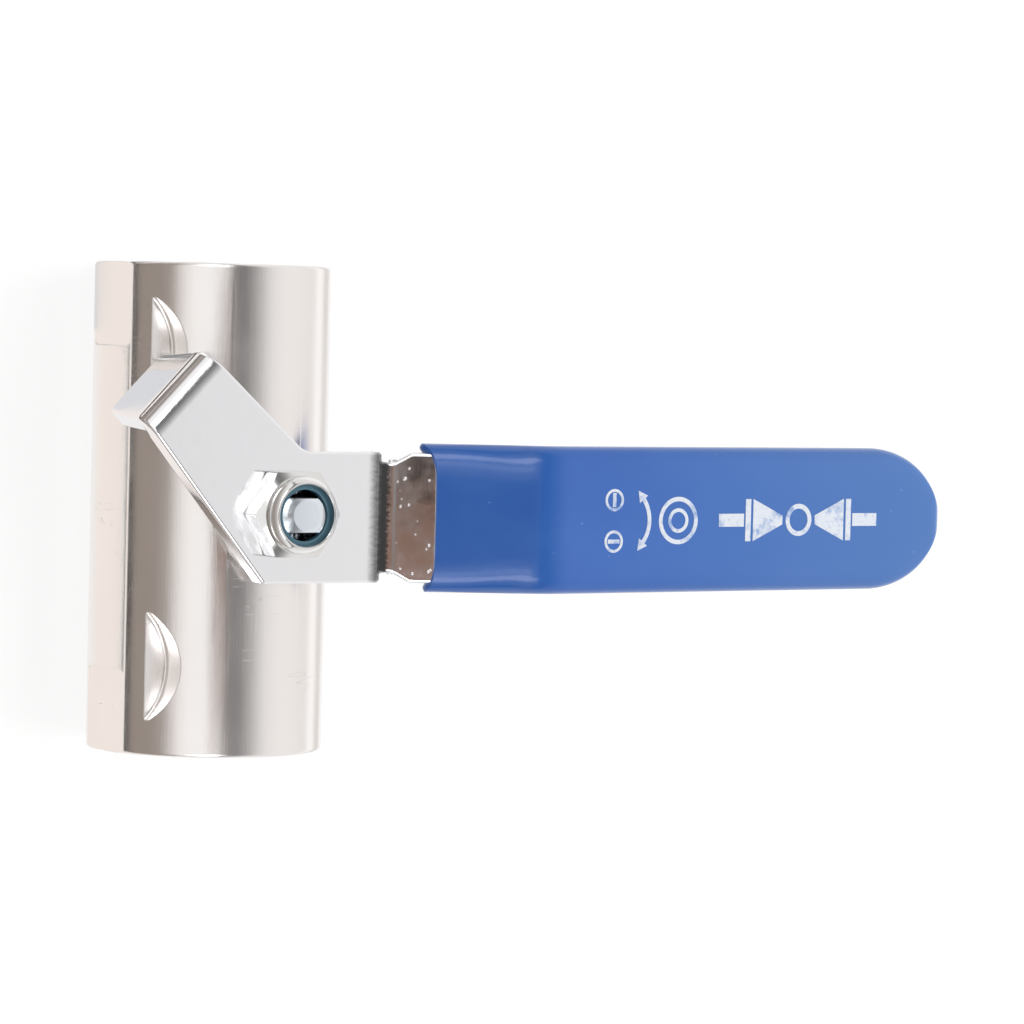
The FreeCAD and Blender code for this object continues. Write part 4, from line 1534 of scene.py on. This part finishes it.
@dataclass
class Studio:
    """Pale floor, soft light and the camera."""

    camera_place: Place = (-260.125, 23.258, 461.889)
    camera_turn: Place = (-3.423, -33.292, 1.679)
    lens: float = 153.63
    floor_half: float = 1.5
    floor_tint: Colour = (0.22, 0.22, 0.22)
    floor_glow: float = 0.8
    lamp_place: Place = (0.5, 0.05, 0.75)
    lamp_size: float = 0.9
    lamp_power: float = 6.2
    backdrop: Colour = (0.98, 0.98, 0.98)
    tent: tuple[tuple[float, Colour], ...] = (
        (-92, (0.33, 0.285, 0.255)),
        (-70, (0.36, 0.32, 0.295)),
        (-58, (0.86, 0.83, 0.82)),
        (-48, (1.02, 1.01, 1.0)),
        (-14, (0.98, 0.98, 0.98)),
        (-10, (0.19, 0.19, 0.19)),
        (3, (0.20, 0.20, 0.20)),
        (14, (0.44, 0.43, 0.43)),
        (30, (0.87, 0.86, 0.86)),
        (50, (0.98, 0.96, 0.95)),
        (92, (0.90, 0.87, 0.85)),
    )
    cards: tuple[Card, ...] = (
        Card("camera_front", (-152, -24, 495), (44, 72), (0.25, 0.146, 0.108)),
        Card("camera_top", (-186, -4, 468), (14, 36), (0.03, 0.026, 0.024)),
        Card("low_flag", (-45, 0, 4.5), (160, 10.0), (0.33, 0.285, 0.255), LEFT),
        Card("dark_strip", (-44, 0, -7.8), (160, 3.3), (0.015, 0.015, 0.015), LEFT),
        Card("low_fill", (45, 0, -7), (160, 7.0), (0.80, 0.77, 0.75), RIGHT),
        Card("left_floor", (-30, 0, -14.1), (14.5, 160), (0.98, 0.915, 0.87), DOWN),
        Card("tab_floor", (-14.45, 29.5, -14.0), (4.45, 8.5), (0.76, 0.765, 0.79), DOWN),
        Card("fold_line", (-24, 50, -14.0), (34, 5), (0.03, 0.03, 0.03), DOWN),
        Card("inlet_soft_box", (-260, -400, 520), (140, 140), (4.0, 4.0, 4.1)),
        Card("outlet_soft_box", (-260, 400, 520), (140, 140), (4.0, 4.0, 4.1)),
        Card("inlet_edge_box", (-195, -179, 505), (55, 42), (2.4, 2.4, 2.5), UP),
        Card("outlet_edge_box", (-195, 131, 505), (55, 42), (2.4, 2.4, 2.5), UP),
    )

    def build(self) -> None:
        """Sets up everything round the object, with plain colours so that a white floor stays white."""
        bpy.context.scene.view_settings.view_transform = "Standard"
        self.camera()
        self.floor()
        self.world()
        self.lamp()
        for card in self.cards:
            card.build()

    def camera(self) -> None:
        """Looks down across the lever from the left."""
        data = bpy.data.cameras.new("camera")
        data.lens = self.lens
        data.sensor_width = 36.0
        data.clip_start = 0.01
        item = bpy.data.objects.new("camera", data)
        bpy.context.scene.collection.objects.link(item)
        item.location = Workshop.place @ Vector(self.camera_place)
        item.rotation_euler = Euler([math.radians(angle) for angle in self.camera_turn])
        bpy.context.scene.camera = item

    def floor(self) -> None:
        """Plain pale sheet, lit from behind, that the pipe lies on."""
        low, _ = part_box("body")
        mesh = bmesh.new()
        bmesh.ops.create_grid(mesh, x_segments=1, y_segments=1, size=self.floor_half)
        bmesh.ops.translate(mesh, verts=mesh.verts, vec=(0, 0, low.z))
        item = Workshop.bench("floor", mesh)
        tree = Tree("pale_floor")
        tree.set(Base_Color=(*self.floor_tint, 1.0), Roughness=0.9, Specular_IOR_Level=0.1)
        tree.set(Emission_Color=(1.0, 1.0, 1.0, 1.0), Emission_Strength=self.floor_glow)
        item.data.materials.append(tree.material)

    def world(self) -> None:
        """Light tent: bright panels with darker gaps, in bands that run along the pipe.

        Each band stands at its angle from straight up, towards the lever's grip.
        """
        world = bpy.data.worlds.new("tent")
        bpy.context.scene.world = world
        world.use_nodes = True
        world.node_tree.nodes.clear()
        net = Net(world.node_tree)
        parts = net.axes(net.node("ShaderNodeTexCoord").outputs["Generated"])
        angle = net.math("ARCTAN2", parts["X"], parts["Z"])
        stops = [(degrees / 360 + 0.5, colour) for degrees, colour in self.tent]
        light = net.node("ShaderNodeBackground")
        net.join(net.ramp(net.share(angle, -math.pi, math.pi), stops), light.inputs["Color"])
        plain = net.node("ShaderNodeBackground")
        net.join((*self.backdrop, 1.0), plain.inputs["Color"])
        choose = net.node("ShaderNodeMixShader")
        net.join(net.node("ShaderNodeLightPath").outputs["Is Camera Ray"], choose.inputs["Fac"])
        net.join(light.outputs[0], choose.inputs[1])
        net.join(plain.outputs[0], choose.inputs[2])
        net.join(choose.outputs[0], net.node("ShaderNodeOutputWorld").inputs["Surface"])

    def lamp(self) -> None:
        """One large soft lamp at the right that lights matt surfaces and stays out of reflections."""
        data = bpy.data.lights.new("overhead", "AREA")
        data.shape = "SQUARE"
        data.size = self.lamp_size
        data.energy = self.lamp_power
        item = bpy.data.objects.new("overhead", data)
        item.location = self.lamp_place
        item.rotation_euler = item.location.to_track_quat("Z", "Y").to_euler()
        item.visible_glossy = False
        bpy.context.scene.collection.objects.link(item)


def main() -> None:
    """Builds the studio, then the valve from the bar outwards."""
    logging.basicConfig(level=logging.INFO, format="%(name)s: %(message)s")
    Studio().build()
    finishes = Finishes()
    BarBody(finishes).build()
    FlowParts(finishes).build()
    StemParts(finishes).build()
    PressedLever(finishes).build()
    DippedSleeve(finishes).build()
    SleevePrint(finishes).build()
    LockNut(finishes).build()


if __name__ == "__main__":
    main()
